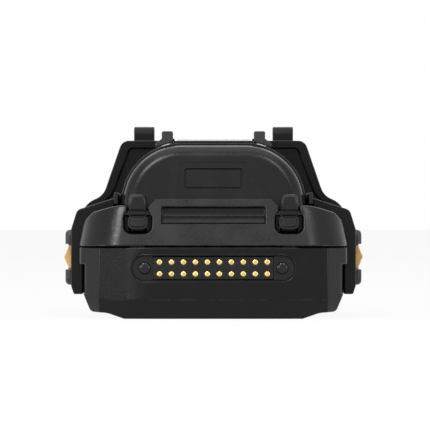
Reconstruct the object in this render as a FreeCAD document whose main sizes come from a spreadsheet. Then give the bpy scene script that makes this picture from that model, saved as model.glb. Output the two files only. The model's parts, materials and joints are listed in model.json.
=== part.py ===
import FreeCAD, Part

import math
import os
import re

import Sketcher

# A belt-worn radio pack that drops into a charging dock, in millimetres.
# X runs across the pack, Y along it and Z from its front face, on which it lies, to its belt clip.
# The origin is the middle of the pack's footprint.  The dock contacts face -Y.

doc = FreeCAD.newDocument("BeltPack")
sheet = doc.addObject("Spreadsheet::Sheet", "Sizes")
ALIASES = []
PLACES = {}
NODES = []
FUNCTIONS = ("sin", "cos", "tan", "sqrt")
SIDES = (("left", -1), ("right", 1))

# A screw's cross recess, as shares of its head's radius and height.
ARM_LONG = 0.55
ARM_WIDE = 0.14
ARM_DEEP = 0.6
NEAR = 0.02


def sizes(**values):
    """Put driving dimensions into the sheet, one aliased cell each."""
    for alias, value in values.items():
        ALIASES.append(alias)
        cell = f"B{len(ALIASES)}"
        sheet.set(f"A{len(ALIASES)}", alias)
        sheet.set(cell, str(value))
        sheet.setAlias(cell, alias)
    sheet.recompute()


def places(**expressions):
    """Name places that follow from the driving dimensions."""
    PLACES.update(expressions)


def full(text):
    """Write an expression out until it names only cells of the sheet."""
    def swap(match):
        word = match.group(0)
        if word in PLACES:
            return "(" + full(PLACES[word]) + ")"
        if word in ALIASES:
            return "Sizes." + word
        if word in FUNCTIONS:
            return word
        raise NameError(f"no size or place is called {word}")
    return re.sub(r"[A-Za-z_]\w*", swap, str(text))


def value(text):
    """The number that an expression gives now."""
    return float(sheet.evalExpression(full(text)))


def bind(thing, prop, text):
    """Tie one property of an object to an expression."""
    thing.setExpression(prop, full(text))


def finish(thing, node):
    """Name a finished sub-part and list it for writing."""
    thing.Label = node
    NODES.append(thing)
    return thing


# ---------------------------------------------------------------- outlines

def mirrored(right):
    """Close an outline that is given by its right half, from bottom to top."""
    left = [(f"-({corner[0]})",) + tuple(corner[1:]) for corner in reversed(right)]
    return list(right) + left


def flipped(side, outline):
    """Carry an outline of the right flank to the given side."""
    return [(f"{side} * ({corner[0]})",) + tuple(corner[1:]) for corner in outline]


def frame(left, right, low, high, radius=None):
    """A rectangle, with rounded corners where a radius is given."""
    corners = [(left, low), (right, low), (right, high), (left, high)]
    if radius is None:
        return corners
    return [corner + (radius,) for corner in corners]


class Disc:
    """A round outline."""

    def __init__(self, across, up, radius):
        self.across = across
        self.up = up
        self.radius = radius


def pin_down(sketch, geometry, end, across, up):
    """Fix one point of a sketch by two bound distances from its origin."""
    for kind, text in (("DistanceX", across), ("DistanceY", up)):
        number = sketch.addConstraint(Sketcher.Constraint(kind, geometry, end, value(text)))
        bind(sketch, f"Constraints[{number}]", text)


def draw_disc(sketch, disc):
    """Draw a bound circle."""
    centre = FreeCAD.Vector(value(disc.across), value(disc.up), 0)
    circle = Part.Circle(centre, FreeCAD.Vector(0, 0, 1), value(disc.radius))
    geometry = sketch.addGeometry(circle)
    pin_down(sketch, geometry, 3, disc.across, disc.up)
    number = sketch.addConstraint(Sketcher.Constraint("Radius", geometry, value(disc.radius)))
    bind(sketch, f"Constraints[{number}]", disc.radius)


class Corner:
    """One corner of an outline, with the arc that rounds it."""

    def __init__(self, before, here, after):
        self.texts = here
        self.point = FreeCAD.Vector(value(here[0]), value(here[1]), 0)
        self.enter = self.point
        self.leave = self.point
        self.rounded = len(here) > 2
        if not self.rounded:
            return
        previous = FreeCAD.Vector(value(before[0]), value(before[1]), 0)
        following = FreeCAD.Vector(value(after[0]), value(after[1]), 0)
        inward = (self.point - previous).normalize()
        outward = (following - self.point).normalize()
        turn = inward.getAngle(outward)
        self.radius = value(here[2])
        reach = self.radius * math.tan(turn / 2)
        self.enter = self.point - inward * reach
        self.leave = self.point + outward * reach
        self.left = inward.x * outward.y - inward.y * outward.x > 0
        side = 1 if self.left else -1
        self.centre = self.enter + FreeCAD.Vector(-inward.y, inward.x, 0) * self.radius * side

    def arc(self):
        """The rounding arc, always drawn anticlockwise."""
        start = (self.enter if self.left else self.leave) - self.centre
        end = (self.leave if self.left else self.enter) - self.centre
        first = math.atan2(start.y, start.x)
        last = math.atan2(end.y, end.x)
        if last < first:
            last += 2 * math.pi
        circle = Part.Circle(self.centre, FreeCAD.Vector(0, 0, 1), self.radius)
        return Part.ArcOfCircle(circle, first, last)


def draw_outline(sketch, outline):
    """Draw a closed outline of straight runs and tangent arcs, bound at every corner."""
    count = len(outline)
    corners = [Corner(outline[i - 1], outline[i], outline[(i + 1) % count]) for i in range(count)]
    runs = []
    for i in range(count):
        run = Part.LineSegment(corners[i].leave, corners[(i + 1) % count].enter)
        runs.append(sketch.addGeometry(run))
    for i, corner in enumerate(corners):
        come, go = runs[i - 1], runs[i]
        across, up = corner.texts[:2]
        if not corner.rounded:
            sketch.addConstraint(Sketcher.Constraint("Coincident", come, 2, go, 1))
            pin_down(sketch, go, 1, across, up)
            continue
        point = sketch.addGeometry(Part.Point(corner.point), True)
        pin_down(sketch, point, 1, across, up)
        sketch.addConstraint(Sketcher.Constraint("PointOnObject", point, 1, come))
        sketch.addConstraint(Sketcher.Constraint("PointOnObject", point, 1, go))
        arc = sketch.addGeometry(corner.arc())
        first, last = (1, 2) if corner.left else (2, 1)
        sketch.addConstraint(Sketcher.Constraint("Tangent", come, 2, arc, first))
        sketch.addConstraint(Sketcher.Constraint("Tangent", go, 1, arc, last))
        number = sketch.addConstraint(Sketcher.Constraint("Radius", arc, corner.radius))
        bind(sketch, f"Constraints[{number}]", corner.texts[2])


# ---------------------------------------------------------------- moulded and machined pieces

class Piece:
    """A sub-part made as one PartDesign body."""

    def __init__(self, node):
        self.body = finish(doc.addObject("PartDesign::Body", node), node)
        self.steps = 0

    def name(self, kind):
        """A fresh feature name for this piece."""
        self.steps += 1
        return f"{self.body.Label}_{kind}{self.steps}"

    def sketch(self, plane, level, outlines, lean=None, foot="0"):
        """A sketch on one of the body's own planes, moved to a level and leaned back if asked."""
        sketch = self.body.newObject("Sketcher::SketchObject", self.name("outline"))
        role = f"{plane}_Plane"
        base = [item for item in self.body.Origin.OriginFeatures if item.Role == role][0]
        sketch.AttachmentSupport = (base, [""])
        sketch.MapMode = "FlatFace"
        if lean is not None:
            turn = FreeCAD.Rotation(FreeCAD.Vector(1, 0, 0), -1)
            sketch.AttachmentOffset = FreeCAD.Placement(FreeCAD.Vector(), turn)
            bind(sketch, "AttachmentOffset.Rotation.Angle", f"-({lean})")
        offset = f"-({level})" if plane == "XZ" else level
        bind(sketch, "AttachmentOffset.Base.z", offset)
        bind(sketch, "AttachmentOffset.Base.y", foot)
        for outline in outlines:
            if isinstance(outline, Disc):
                draw_disc(sketch, outline)
            else:
                draw_outline(sketch, outline)
        return sketch

    def pad(self, plane, start, end, *outlines):
        """Add material between two levels along the plane's axis."""
        pad = self.body.newObject("PartDesign::Pad", self.name("pad"))
        pad.Profile = self.sketch(plane, start, outlines)
        bind(pad, "Length", f"({end}) - ({start})")
        pad.Reversed = plane == "XZ"

    def cut(self, plane, start, end, *outlines, lean=None, foot="0"):
        """Take material away between two levels along the plane's axis."""
        pocket = self.body.newObject("PartDesign::Pocket", self.name("cut"))
        pocket.Profile = self.sketch(plane, start, outlines, lean, foot)
        bind(pocket, "Length", f"({end}) - ({start})")
        pocket.Reversed = plane != "XZ"

    def loft(self, plane, *sections):
        """Add a shape that runs from one outline to the next."""
        sketches = [self.sketch(plane, level, [outline]) for level, outline in sections]
        loft = self.body.newObject("PartDesign::AdditiveLoft", self.name("loft"))
        loft.Profile = sketches[0]
        loft.Sections = sketches[1:]

    def soften(self, radius, wanted):
        """Round every edge of the piece so far that is wanted."""
        doc.recompute()
        base = self.body.Tip
        edges = [f"Edge{i}" for i, edge in enumerate(base.Shape.Edges, 1) if wanted(edge)]
        if not edges:
            raise ValueError(f"{self.body.Label} has no such edge")
        soft = self.body.newObject("PartDesign::Fillet", self.name("soft"))
        soft.Base = (base, edges)
        bind(soft, "Radius", radius)


def lies_at(edge, axis, place):
    """Whether every point of an edge is at one place along an axis."""
    box = edge.BoundBox
    low = getattr(box, f"{axis}Min")
    high = getattr(box, f"{axis}Max")
    return abs(low - place) < NEAR and abs(high - place) < NEAR


# ---------------------------------------------------------------- plain solids and groups of them

def brick(name, across, along, up):
    """A block between three pairs of levels."""
    block = doc.addObject("Part::Box", name)
    pairs = (("Length", "x", across), ("Width", "y", along), ("Height", "z", up))
    for prop, axis, (low, high) in pairs:
        bind(block, prop, f"({high}) - ({low})")
        bind(block, f"Placement.Base.{axis}", low)
    return block


def rod(name, axis, centre, radius, start, end):
    """A round bar along X, Y or Z; centre gives its two other coordinates in order."""
    bar = doc.addObject("Part::Cylinder", name)
    turns = {
        "X": (FreeCAD.Vector(0, 1, 0), 90),
        "Y": (FreeCAD.Vector(1, 0, 0), -90),
        "Z": (FreeCAD.Vector(0, 0, 1), 0),
    }
    bar.Placement = FreeCAD.Placement(FreeCAD.Vector(), FreeCAD.Rotation(*turns[axis]))
    others = [letter for letter in "XYZ" if letter != axis]
    for letter, text in zip(others, centre):
        bind(bar, f"Placement.Base.{letter.lower()}", text)
    bind(bar, f"Placement.Base.{axis.lower()}", start)
    bind(bar, "Radius", radius)
    bind(bar, "Height", f"({end}) - ({start})")
    return bar


def joined(name, *parts):
    """Several solids made one."""
    whole = doc.addObject("Part::MultiFuse", name)
    whole.Shapes = list(parts)
    return whole


def carved(name, base, *tools):
    """A solid with others cut out of it."""
    result = doc.addObject("Part::Cut", name)
    result.Base = base
    result.Tool = tools[0] if len(tools) == 1 else joined(f"{name}_tools", *tools)
    return result


def group(node, parts):
    """A node of several like solids that stay apart."""
    whole = doc.addObject("Part::Compound", node)
    whole.Links = list(parts)
    return finish(whole, node)


def screw(name, axis, centre, outward, seat, head_radius, head_high, shank_radius, tip):
    """A pan screw with a cross recess; outward is the sign of the way its head faces."""
    face = f"({seat}) + {outward} * ({head_high})"
    slot_floor = f"({face}) - {outward} * ({head_high}) * {ARM_DEEP}"
    low, high = (seat, face) if outward > 0 else (face, seat)
    head = rod(f"{name}_head", axis, centre, head_radius, low, high)
    low, high = (tip, seat) if outward > 0 else (seat, tip)
    shank = rod(f"{name}_shank", axis, centre, shank_radius, low, high)
    low, high = (slot_floor, f"{face} + 1") if outward > 0 else (f"{face} - 1", slot_floor)
    arms = []
    for arm, shares in enumerate(((ARM_LONG, ARM_WIDE), (ARM_WIDE, ARM_LONG))):
        spans = []
        for text, share in zip(centre, shares):
            reach = f"{share} * ({head_radius})"
            spans.append((f"({text}) - {reach}", f"({text}) + {reach}"))
        spans.insert("XYZ".index(axis), (low, high))
        arms.append(brick(f"{name}_arm{arm}", *spans))
    return carved(name, joined(f"{name}_blank", head, shank), *arms)


# ---------------------------------------------------------------- overall dimensions

sizes(
    pack_length=120,
    control_proud=4,
    cap_depth=14,
    panel_thick=2.2,
    head_length=34.2,
    terminal_room=1.6,
    skirt_half=30.6,
    seam_height=15.2,
    deck_rise=8.9,
    hump_rise=13.5,
    part_gap=0.3,
    fit_gap=0.1,
    run_gap=0.05,
    wall=1.8,
    floor=2.6,
    past=1,
)
places(
    near_face="-pack_length / 2",
    cap_back="near_face + cap_depth",
    panel_face="pack_length / 2 - control_proud",
    panel_back="panel_face - panel_thick",
    head_near="panel_back - head_length",
    battery_far="head_near - terminal_room",
    battery_near="cap_back - part_gap",
    cover_low="seam_height + part_gap",
    deck_height="seam_height + deck_rise",
    arch_top="deck_height + hump_rise",
    tray_half="skirt_half - 2.8",
    tray_inner="tray_half - wall",
)

# The front face is a flat belly that rises in a slow curve to a chine and the flanks.
sizes(
    belly_round=8,
    hip_rise=1.25,
    chine_rise=1.5,
    chine_round=1.2,
    flank_rise=5.4,
    hip_step=3.6,
    tray_drop=2,
)
places(
    chine_half="tray_half - 1.6",
    hip_half="chine_half - hip_step",
    belly_half="hip_half - hip_step",
    tray_top="seam_height - tray_drop",
)
BELLY = [
    ("belly_half", "0", "belly_round"),
    ("hip_half", "hip_rise", "belly_round"),
    ("chine_half", "chine_rise", "chine_round"),
    ("tray_half", "flank_rise"),
]

# ---------------------------------------------------------------- dock end

sizes(
    cap_half=28.6,
    nose_round=30,
    crease_back=2.4,
    crease_round=0.8,
    cheek_back=8.6,
    cheek_round=3,
    bevel_height=4.1,
    bevel_back=3,
    cap_wall=2.4,
    cap_roof=1.8,
    hollow_round=5,
    recess_past=4.7,
    recess_low=8,
    recess_high=13.65,
    recess_deep=1,
    block_low=8.45,
    block_high=13.25,
    block_proud=0.35,
    contact_pitch=2.54,
    contact_row=1.275,
    contact_radius=0.66,
    contact_proud=0.2,
    contact_screw_head=1.3,
    contact_screw_shank=0.8,
    carrier_low=7,
    carrier_deep=2.6,
)
places(
    cap_low_half="cap_half - 1.3",
    cap_step="seam_height - 3.6",
    crease_half="cap_half - 4.3",
    nose_half="crease_half - 8.8",
    block_half="5 * contact_pitch",
    recess_half="block_half + recess_past",
    recess_face="near_face + recess_deep",
    cap_inner="near_face + cap_wall",
    cap_ceiling="seam_height - cap_roof",
    block_face="recess_face - block_proud",
    block_middle="(block_low + block_high) / 2",
    carrier_back="cap_inner + carrier_deep",
    contact_screw_x="block_half + 1.9",
    carrier_half="block_half + 3.5",
)


def dock_cap():
    """The moulded nose that drops into the dock, hollow behind its face."""
    cap = Piece("dock_cap")
    plan = mirrored([
        ("nose_half", "near_face", "nose_round"),
        ("crease_half", "near_face + crease_back", "crease_round"),
        ("cap_half", "near_face + cheek_back", "cheek_round"),
        ("cap_half", "cap_back"),
    ])
    cap.pad("XY", "0", "seam_height", plan)
    outside = "cap_half + past"
    under = "-past"
    for _, side in SIDES:
        step = frame("cap_low_half", outside, under, "cap_step")
        cap.cut("XZ", "near_face - past", "cap_back + past", flipped(side, step))
        chine = BELLY + [(outside, "flank_rise"), (outside, under), ("belly_half", under)]
        chine[0] = ("belly_half", "0")
        cap.cut("XZ", "near_face - past", "cap_back + past", flipped(side, chine))
    bevel = [
        ("near_face", "bevel_height"),
        ("near_face - past", "bevel_height"),
        ("near_face - past", under),
        ("near_face + bevel_back", under),
        ("near_face + bevel_back", "0"),
    ]
    cap.cut("YZ", f"-({outside})", outside, bevel)
    hollow = mirrored([
        ("carrier_half + 2.3", "cap_inner", "hollow_round"),
        ("crease_half - 0.7", "near_face + crease_back + 2"),
        ("cap_low_half - wall", "near_face + cheek_back"),
        ("cap_low_half - wall", "cap_back + past"),
    ])
    cap.cut("XY", "floor", "cap_ceiling", hollow)
    recess = frame("-recess_half", "recess_half", "recess_low", "recess_high", "2.7")
    cap.cut("XZ", "near_face - past", "recess_face", recess)
    window = frame(
        "-block_half - fit_gap", "block_half + fit_gap", "block_low - fit_gap", "block_high + fit_gap",
    )
    cap.cut("XZ", "near_face - past", "cap_inner + past", window)
    for _, side in SIDES:
        hole = Disc(f"{side} * contact_screw_x", "block_middle", "contact_screw_shank + fit_gap")
        cap.cut("XZ", "near_face - past", "cap_inner + past", hole)


def dock_contacts():
    """The spring-contact block behind the window: block, twenty gold contacts, carrier, two screws."""
    block = Piece("contact_block")
    outline = frame("-block_half", "block_half", "block_low", "block_high", "0.4")
    block.pad("XZ", "block_face", "carrier_back", outline)
    contacts = []
    rows = ("block_middle - contact_row", "block_middle + contact_row")
    columns = [f"({column} - 4.5) * contact_pitch" for column in range(10)]
    for height in rows:
        holes = [Disc(column, height, "contact_radius + 0.02") for column in columns]
        block.cut("XZ", "block_face - past", "carrier_back + past", *holes)
        for column in columns:
            name = f"contact{len(contacts)}"
            start = "block_face - contact_proud"
            contacts.append(
                rod(name, "Y", (column, height), "contact_radius", start, "carrier_back + 1.5")
            )
    group("dock_contacts", contacts)
    carrier = Piece("contact_carrier")
    outer = frame("-carrier_half", "carrier_half", "carrier_low", "cap_ceiling")
    inner = frame(
        "-block_half - 0.03", "block_half + 0.03", "block_low - 0.03", "block_high + 0.03", "0.4",
    )
    carrier.pad("XZ", "cap_inner", "carrier_back", outer)
    carrier.cut("XZ", "cap_inner - past", "carrier_back + past", inner)
    screws = []
    for word, side in SIDES:
        at = (f"{side} * contact_screw_x", "block_middle")
        hole = Disc(at[0], at[1], "contact_screw_shank + 0.02")
        carrier.cut("XZ", "cap_inner - past", "carrier_back + past", hole)
        head = ("contact_screw_head", "0.8", "contact_screw_shank", "carrier_back - 0.4")
        screws.append(screw(f"contact_screw_{word}", "Y", at, -1, "recess_face", *head))
    group("contact_screws", screws)


# ---------------------------------------------------------------- housings

sizes(
    display_half=14,
    display_long=24,
    lens_lip=1.4,
    lens_thick=1,
    key_pitch=10,
    key_wide=6.6,
    key_deep=3.6,
    post_radius=3,
    post_head=1.8,
    post_head_seat=4.2,
    post_shank=1.1,
    side_key_travel=0.8,
    side_key_long=16,
    side_key_tall=5.2,
    stem_half=2,
    stem_tall=2.8,
)
places(
    display_near="cap_back + 40",
    display_far="display_near + display_long",
    key_row="display_near - 8",
    post_x="tray_inner - 2.4",
    post_near="cap_back + 5",
    post_far="panel_back - 5.8",
    post_tip="deck_height - 4.5",
    side_key_near="cap_back + 18",
    side_key_far="side_key_near + side_key_long",
    side_key_low="tray_top - 2.8",
    side_key_high="side_key_low + side_key_tall",
    stem_low="tray_top - 1.8",
    stem_high="stem_low + stem_tall",
    side_key_middle="(side_key_near + side_key_far) / 2",
    side_key_ridge="(side_key_low + side_key_high) / 2",
    stem_middle="(stem_low + stem_high) / 2",
)
KEY_COLUMNS = (-1, 0, 1)


def front_housing():
    """The front shell: a tray that carries the main board, with the display window and menu keys."""
    tray = Piece("front_housing")
    tray.pad("XZ", "cap_back", "panel_back", mirrored(BELLY + [("tray_half", "tray_top")]))
    inside = mirrored([
        ("tray_inner - 2.4", "floor", "0.8"),
        ("tray_inner", "flank_rise + 0.4", "1.5"),
        ("tray_inner", "tray_top + past"),
    ])
    tray.cut("XZ", "cap_back - past", "panel_back + past", inside)
    posts = [(f"{side} * post_x", along) for _, side in SIDES for along in ("post_near", "post_far")]
    for post in posts:
        tray.pad("XY", "floor - 0.4", "tray_top", Disc(*post, "post_radius"))
        tray.cut("XY", "-past", "post_head_seat", Disc(*post, "post_head + 0.15"))
        tray.cut("XY", "post_head_seat - past", "tray_top + past", Disc(*post, "post_shank + fit_gap"))
    lens = (
        "-display_half - lens_lip",
        "display_half + lens_lip",
        "display_near - lens_lip",
        "display_far + lens_lip",
    )
    tray.cut("XY", "-past", "lens_thick + fit_gap", frame(*lens, "2"))
    window = frame("-display_half", "display_half", "display_near", "display_far", "1")
    tray.cut("XY", "0", "floor + past", window)
    for column in KEY_COLUMNS:
        x = f"{column} * key_pitch"
        hole = (f"{x} - key_wide / 2 - 0.2", f"{x} + key_wide / 2 + 0.2")
        tray.cut(
            "XY",
            "-past",
            "floor + past",
            frame(*hole, "key_row - key_deep / 2 - 0.2", "key_row + key_deep / 2 + 0.2", "1"),
        )
    for _, side in SIDES:
        notch = frame(
            "side_key_middle - stem_half - 0.5",
            "side_key_middle + stem_half + 0.5",
            "stem_low - 0.5",
            "tray_top + past",
        )
        start, end = ("tray_inner - past", "tray_half + past")[::side]
        tray.cut("YZ", f"{side} * ({start})", f"{side} * ({end})", notch)


sizes(
    skirt_low=5.1,
    bay_half=20.3,
    bay_wall=2,
    tongue_out=0.9,
    bulkhead=1.6,
    tongue_tall=1.6,
    rail_tall=2.5,
    rail_out=1,
    rail_past=4,
)
places(
    skirt_inner="tray_half + part_gap",
    shoulder_half="skirt_half - 1.3",
    shoulder_low="head_base - 1",
    shoulder_rise="deck_height - 0.9",
    ridge_half="bay_half + 1.3",
    ridge_rise="deck_height + 1.6",
    bay_floor="seam_height - 0.2",
    bay_roof="tray_top + 0.4",
    tongue_low="cover_low + 1.5",
    tongue_high="tongue_low + tongue_tall",
    chamber_top="deck_height - 1.7",
    chamber_near="cap_back + 10",
    head_base="deck_height - 4.1",
    post_block="post_x - 2",
    well_half="tray_half - 0.6",
    rail_low="deck_height + part_gap",
    rail_high="rail_low + rail_tall",
    bulkhead_far="head_near + bulkhead",
    rail_outer="bay_half + rail_out",
)


def back_housing():
    """The back shell: skirts round the tray, the open battery bay and the seat of the head."""
    shell = Piece("back_housing")
    shell.pad("XZ", "cap_back", "panel_back", mirrored([
        ("skirt_half - 0.6", "skirt_low", "0.4"),
        ("skirt_half", "skirt_low + 1.8", "0.6"),
        ("skirt_half", "shoulder_low", "2"),
        ("shoulder_half", "shoulder_rise", "1.6"),
        ("ridge_half", "ridge_rise", "0.5"),
    ]))
    shell.cut(
        "XZ",
        "cap_back - past",
        "panel_back + past",
        frame("-skirt_inner", "skirt_inner", "0", "bay_roof"),
    )
    shell.cut(
        "XZ",
        "cap_back - past",
        "head_near",
        frame("-bay_half", "bay_half", "bay_floor", "ridge_rise + past"),
    )
    shell.cut(
        "XY",
        "head_base",
        "ridge_rise + past",
        frame("-skirt_half - past", "skirt_half + past", "head_near", "panel_back + past"),
    )
    well = mirrored([
        ("well_half", "bulkhead_far"),
        ("well_half", "post_far - post_radius - 2"),
        ("post_block", "post_far - post_radius - 2"),
        ("post_block", "panel_back + past"),
    ])
    shell.cut("XY", "bay_roof - past", "head_base + past", well)
    for _, side in SIDES:
        near_key, far_key = "side_key_near - part_gap", "side_key_far + part_gap"
        groove = frame(
            "bay_half - past",
            "bay_half + tongue_out + part_gap",
            "tongue_low - part_gap",
            "tongue_high + part_gap",
        )
        shell.cut("XZ", "cap_back - past", "battery_far + fit_gap", flipped(side, groove))
        seat = frame("bay_half - past", "rail_outer", "rail_low", "ridge_rise + past")
        shell.cut("XZ", "cap_back - past", "head_near", flipped(side, seat))
        chamber = frame("bay_half + bay_wall", "tray_inner", "bay_roof - past", "chamber_top")
        shell.cut("XZ", "chamber_near", "head_near - past", flipped(side, chamber))
        key = frame(near_key, far_key, "side_key_low - 0.2", "side_key_high + 0.2", "0.8")
        start, end = ("tray_inner - past", "skirt_half + past")[::side]
        shell.cut("YZ", f"{side} * ({start})", f"{side} * ({end})", key)
        for along in ("post_near", "post_far"):
            shell.cut(
                "XY",
                "bay_roof - past",
                "post_tip + 0.2",
                Disc(f"{side} * post_x", along, "post_shank + 0.02"),
            )
        hole = Disc(f"{side} * panel_low_x", "panel_low_z", "panel_shank + 0.02")
        shell.cut("XZ", "panel_back - panel_screw_long", "panel_back + past", hole)


def housing_screws():
    """Four screws up through the tray's posts into the back shell."""
    screws = []
    for word, side in SIDES:
        for end in ("near", "far"):
            at = (f"{side} * post_x", f"post_{end}")
            size = ("post_head", "1.6", "post_shank", "post_tip")
            screws.append(screw(f"housing_screw_{word}_{end}", "Z", at, -1, "post_head_seat", *size))
    group("housing_screws", screws)


def side_seals():
    """A rubber strip along each edge of the tray, closed on by the back shell."""
    strips = []
    for word, side in SIDES:
        inner, outer = "tray_inner + 0.2", "tray_half - 0.2"
        across = (inner, outer) if side > 0 else (f"-({outer})", f"-({inner})")
        near = ("cap_back + 0.4", "side_key_middle - stem_half - 0.8")
        far = ("side_key_middle + stem_half + 0.8", "panel_back - 0.4")
        for end, along in (("near", near), ("far", far)):
            strips.append(brick(f"seal_{word}_{end}", across, along, ("tray_top", "bay_roof")))
    group("side_seals", strips)


def battery_rails():
    """The bright guide strips along the top edges of the battery bay."""
    for word, side in SIDES:
        rail = Piece(f"battery_rail_{word}")
        section = [
            ("bay_half + fit_gap", "rail_low"),
            ("rail_outer", "rail_low"),
            ("rail_outer", "rail_high", "0.3"),
            ("bay_half + fit_gap", "rail_high", "0.3"),
        ]
        rail.pad("XZ", "cap_back - rail_past", "battery_far", flipped(side, section))


sizes(
    head_round=5,
    waist_round=4,
    crown_round=2.2,
    head_wall=2,
    rim=1.7,
    head_recess=1.2,
    clip_slot_half=12,
    clip_slot_deep=19.4,
    clip_pin_radius=0.8,
    clip_pin_half=14,
    ear_wide=4.7,
    ear_rise=3.5,
    ear_long=8,
    ear_eye=1.2,
)
places(
    head_shoulder_half="skirt_half - 1",
    head_shoulder="deck_height + 0.5",
    waist_half="skirt_half - 5.4",
    waist_rise="deck_height + 2.5",
    crown_half="waist_half - 4.3",
    crown_rise="arch_top + 1.5",
    clip_low="arch_top + 0.35",
    clip_pin_y="head_near + 14.4",
    clip_pin_z="clip_low - 0.15",
    clip_slot_floor="clip_pin_z - 2.2",
    ear_x="crown_half - 4.8",
    ear_near="clip_pin_y + 1.5",
    eye_y="ear_near + ear_long / 2",
    eye_z="crown_rise + ear_rise - 2",
)
HEAD = [
    ("skirt_half", "head_base"),
    ("head_shoulder_half", "head_shoulder", "head_round"),
    ("waist_half", "waist_rise", "waist_round"),
    ("crown_half", "crown_rise", "crown_round"),
]


def head_shell():
    """The raised head over the far end: radio chamber, clip slot and two strap ears."""
    head = Piece("head_shell")
    head.pad("XZ", "head_near", "panel_back", mirrored(HEAD))
    chamber = mirrored([
        ("skirt_half - head_wall - 0.6", "head_base - past"),
        ("head_shoulder_half - head_wall - 0.6", "head_shoulder - 1.4", "2.5"),
        ("waist_half - head_wall - 0.6", "waist_rise - 1.2", "2"),
        ("crown_half - head_wall", "clip_slot_floor - past", "1"),
    ])
    head.cut("XZ", "bulkhead_far + 0.4", "panel_back + past", chamber)
    niche = mirrored([
        ("skirt_half - rim - 0.2", "head_base + 1.2", "0.8"),
        ("head_shoulder_half - rim - 0.4", "head_shoulder - 1.1", "head_round - rim"),
        ("waist_half - rim - 0.2", "waist_rise - 0.2", "waist_round + rim"),
        ("crown_half - rim", "crown_rise - rim", "1.2"),
    ])
    head.cut("XZ", "head_near - past", "head_near + head_recess", niche)
    slot = frame("-clip_slot_half", "clip_slot_half", "clip_slot_floor", "crown_rise + past")
    head.cut("XZ", "head_near - past", "head_near + clip_slot_deep", slot)
    head.cut(
        "YZ",
        "-clip_pin_half - fit_gap",
        "clip_pin_half + fit_gap",
        Disc("clip_pin_y", "clip_pin_z", "clip_pin_radius + 0.02"),
    )
    for _, side in SIDES:
        ear = [
            ("ear_near", "crown_rise - 0.5"),
            ("ear_near + ear_long", "crown_rise - 0.5"),
            ("ear_near + ear_long", "crown_rise + ear_rise", "2"),
            ("ear_near", "crown_rise + ear_rise", "2"),
        ]
        inner, outer = "ear_x - ear_wide / 2", "ear_x + ear_wide / 2"
        start, end = (inner, outer) if side > 0 else (f"-({outer})", f"-({inner})")
        head.pad("YZ", start, end, ear)
        head.cut("YZ", f"{start} - 0.2", f"{end} + 0.2", Disc("eye_y", "eye_z", "ear_eye"))
        hole = Disc(f"{side} * panel_high_x", "panel_high_z", "panel_shank + 0.02")
        head.cut("XZ", "panel_back - panel_screw_long", "panel_back + past", hole)


# ---------------------------------------------------------------- far end: panel and controls

sizes(
    panel_head=1.8,
    panel_shank=1,
    panel_screw_long=6,
    panel_high_x=9,
    socket_x=-11,
    socket_bore=4.1,
    socket_mouth=4.3,
    socket_mouth_deep=4.2,
    socket_outer=5.2,
    socket_proud=1.4,
    nut_radius=6.6,
    nut_thick=1,
    knob_x=11,
    knob_radius=5.6,
    knob_gap=0.4,
    shaft_radius=1.5,
    bush_radius=3.4,
    board_thick=1.6,
    encoder_half=5.5,
    encoder_deep=4.4,
    button_radius=3,
    button_proud=1.2,
    stud_radius=1.2,
    light_x=9,
    light_radius=1.2,
    pcb_low=5,
    pcb_thick=1.6,
)
places(
    panel_low_x="skirt_half - 4.8",
    panel_low_z="head_base - 3.2",
    panel_high_z="crown_rise - 2.2",
    socket_z="seam_height - 2.6",
    knob_z="socket_z",
    socket_back="panel_face - 10",
    insert_face="socket_back + 3.5",
    board_front="panel_face - 10.8",
    button_z="deck_height + 2.9",
    socket_face="panel_face + socket_proud",
    board_back="board_front + board_thick",
    pcb_top="pcb_low + pcb_thick",
    knob_low="panel_face + knob_gap",
    knob_top="pack_length / 2",
)


def end_panel():
    """The far panel with its socket, knob, button and light openings."""
    panel = Piece("end_panel")
    section = mirrored(BELLY[:3] + [
        ("tray_half", "skirt_low"),
        ("skirt_half - 0.6", "skirt_low", "0.4"),
        ("skirt_half", "skirt_low + 1.8", "0.6"),
    ] + HEAD)
    panel.pad("XZ", "panel_back", "panel_face", section)
    rounds = [
        Disc("socket_x", "socket_z", "socket_outer + 0.05"),
        Disc("knob_x", "knob_z", "bush_radius + 0.05"),
        Disc("0", "button_z", "button_radius + 0.15"),
        Disc("light_x", "button_z", "light_radius + 0.02"),
    ]
    panel.cut("XZ", "panel_back - past", "panel_face + past", *rounds)
    for _, side in SIDES:
        for pair in ("low", "high"):
            at = (f"{side} * panel_{pair}_x", f"panel_{pair}_z")
            panel.cut(
                "XZ", "panel_back - past", "panel_face + past", Disc(*at, "panel_shank + fit_gap"),
            )
            panel.cut("XZ", "panel_face - 1.1", "panel_face + past", Disc(*at, "panel_head + fit_gap"))


def panel_screws():
    """Four screws that hold the end panel to the back shell and the head."""
    screws = []
    for word, side in SIDES:
        for pair in ("low", "high"):
            at = (f"{side} * panel_{pair}_x", f"panel_{pair}_z")
            size = ("panel_head", "0.9", "panel_shank", "panel_back - panel_screw_long + 0.3")
            screws.append(screw(f"panel_screw_{word}_{pair}", "Y", at, 1, "panel_face - 1.1", *size))
    group("panel_screws", screws)


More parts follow.
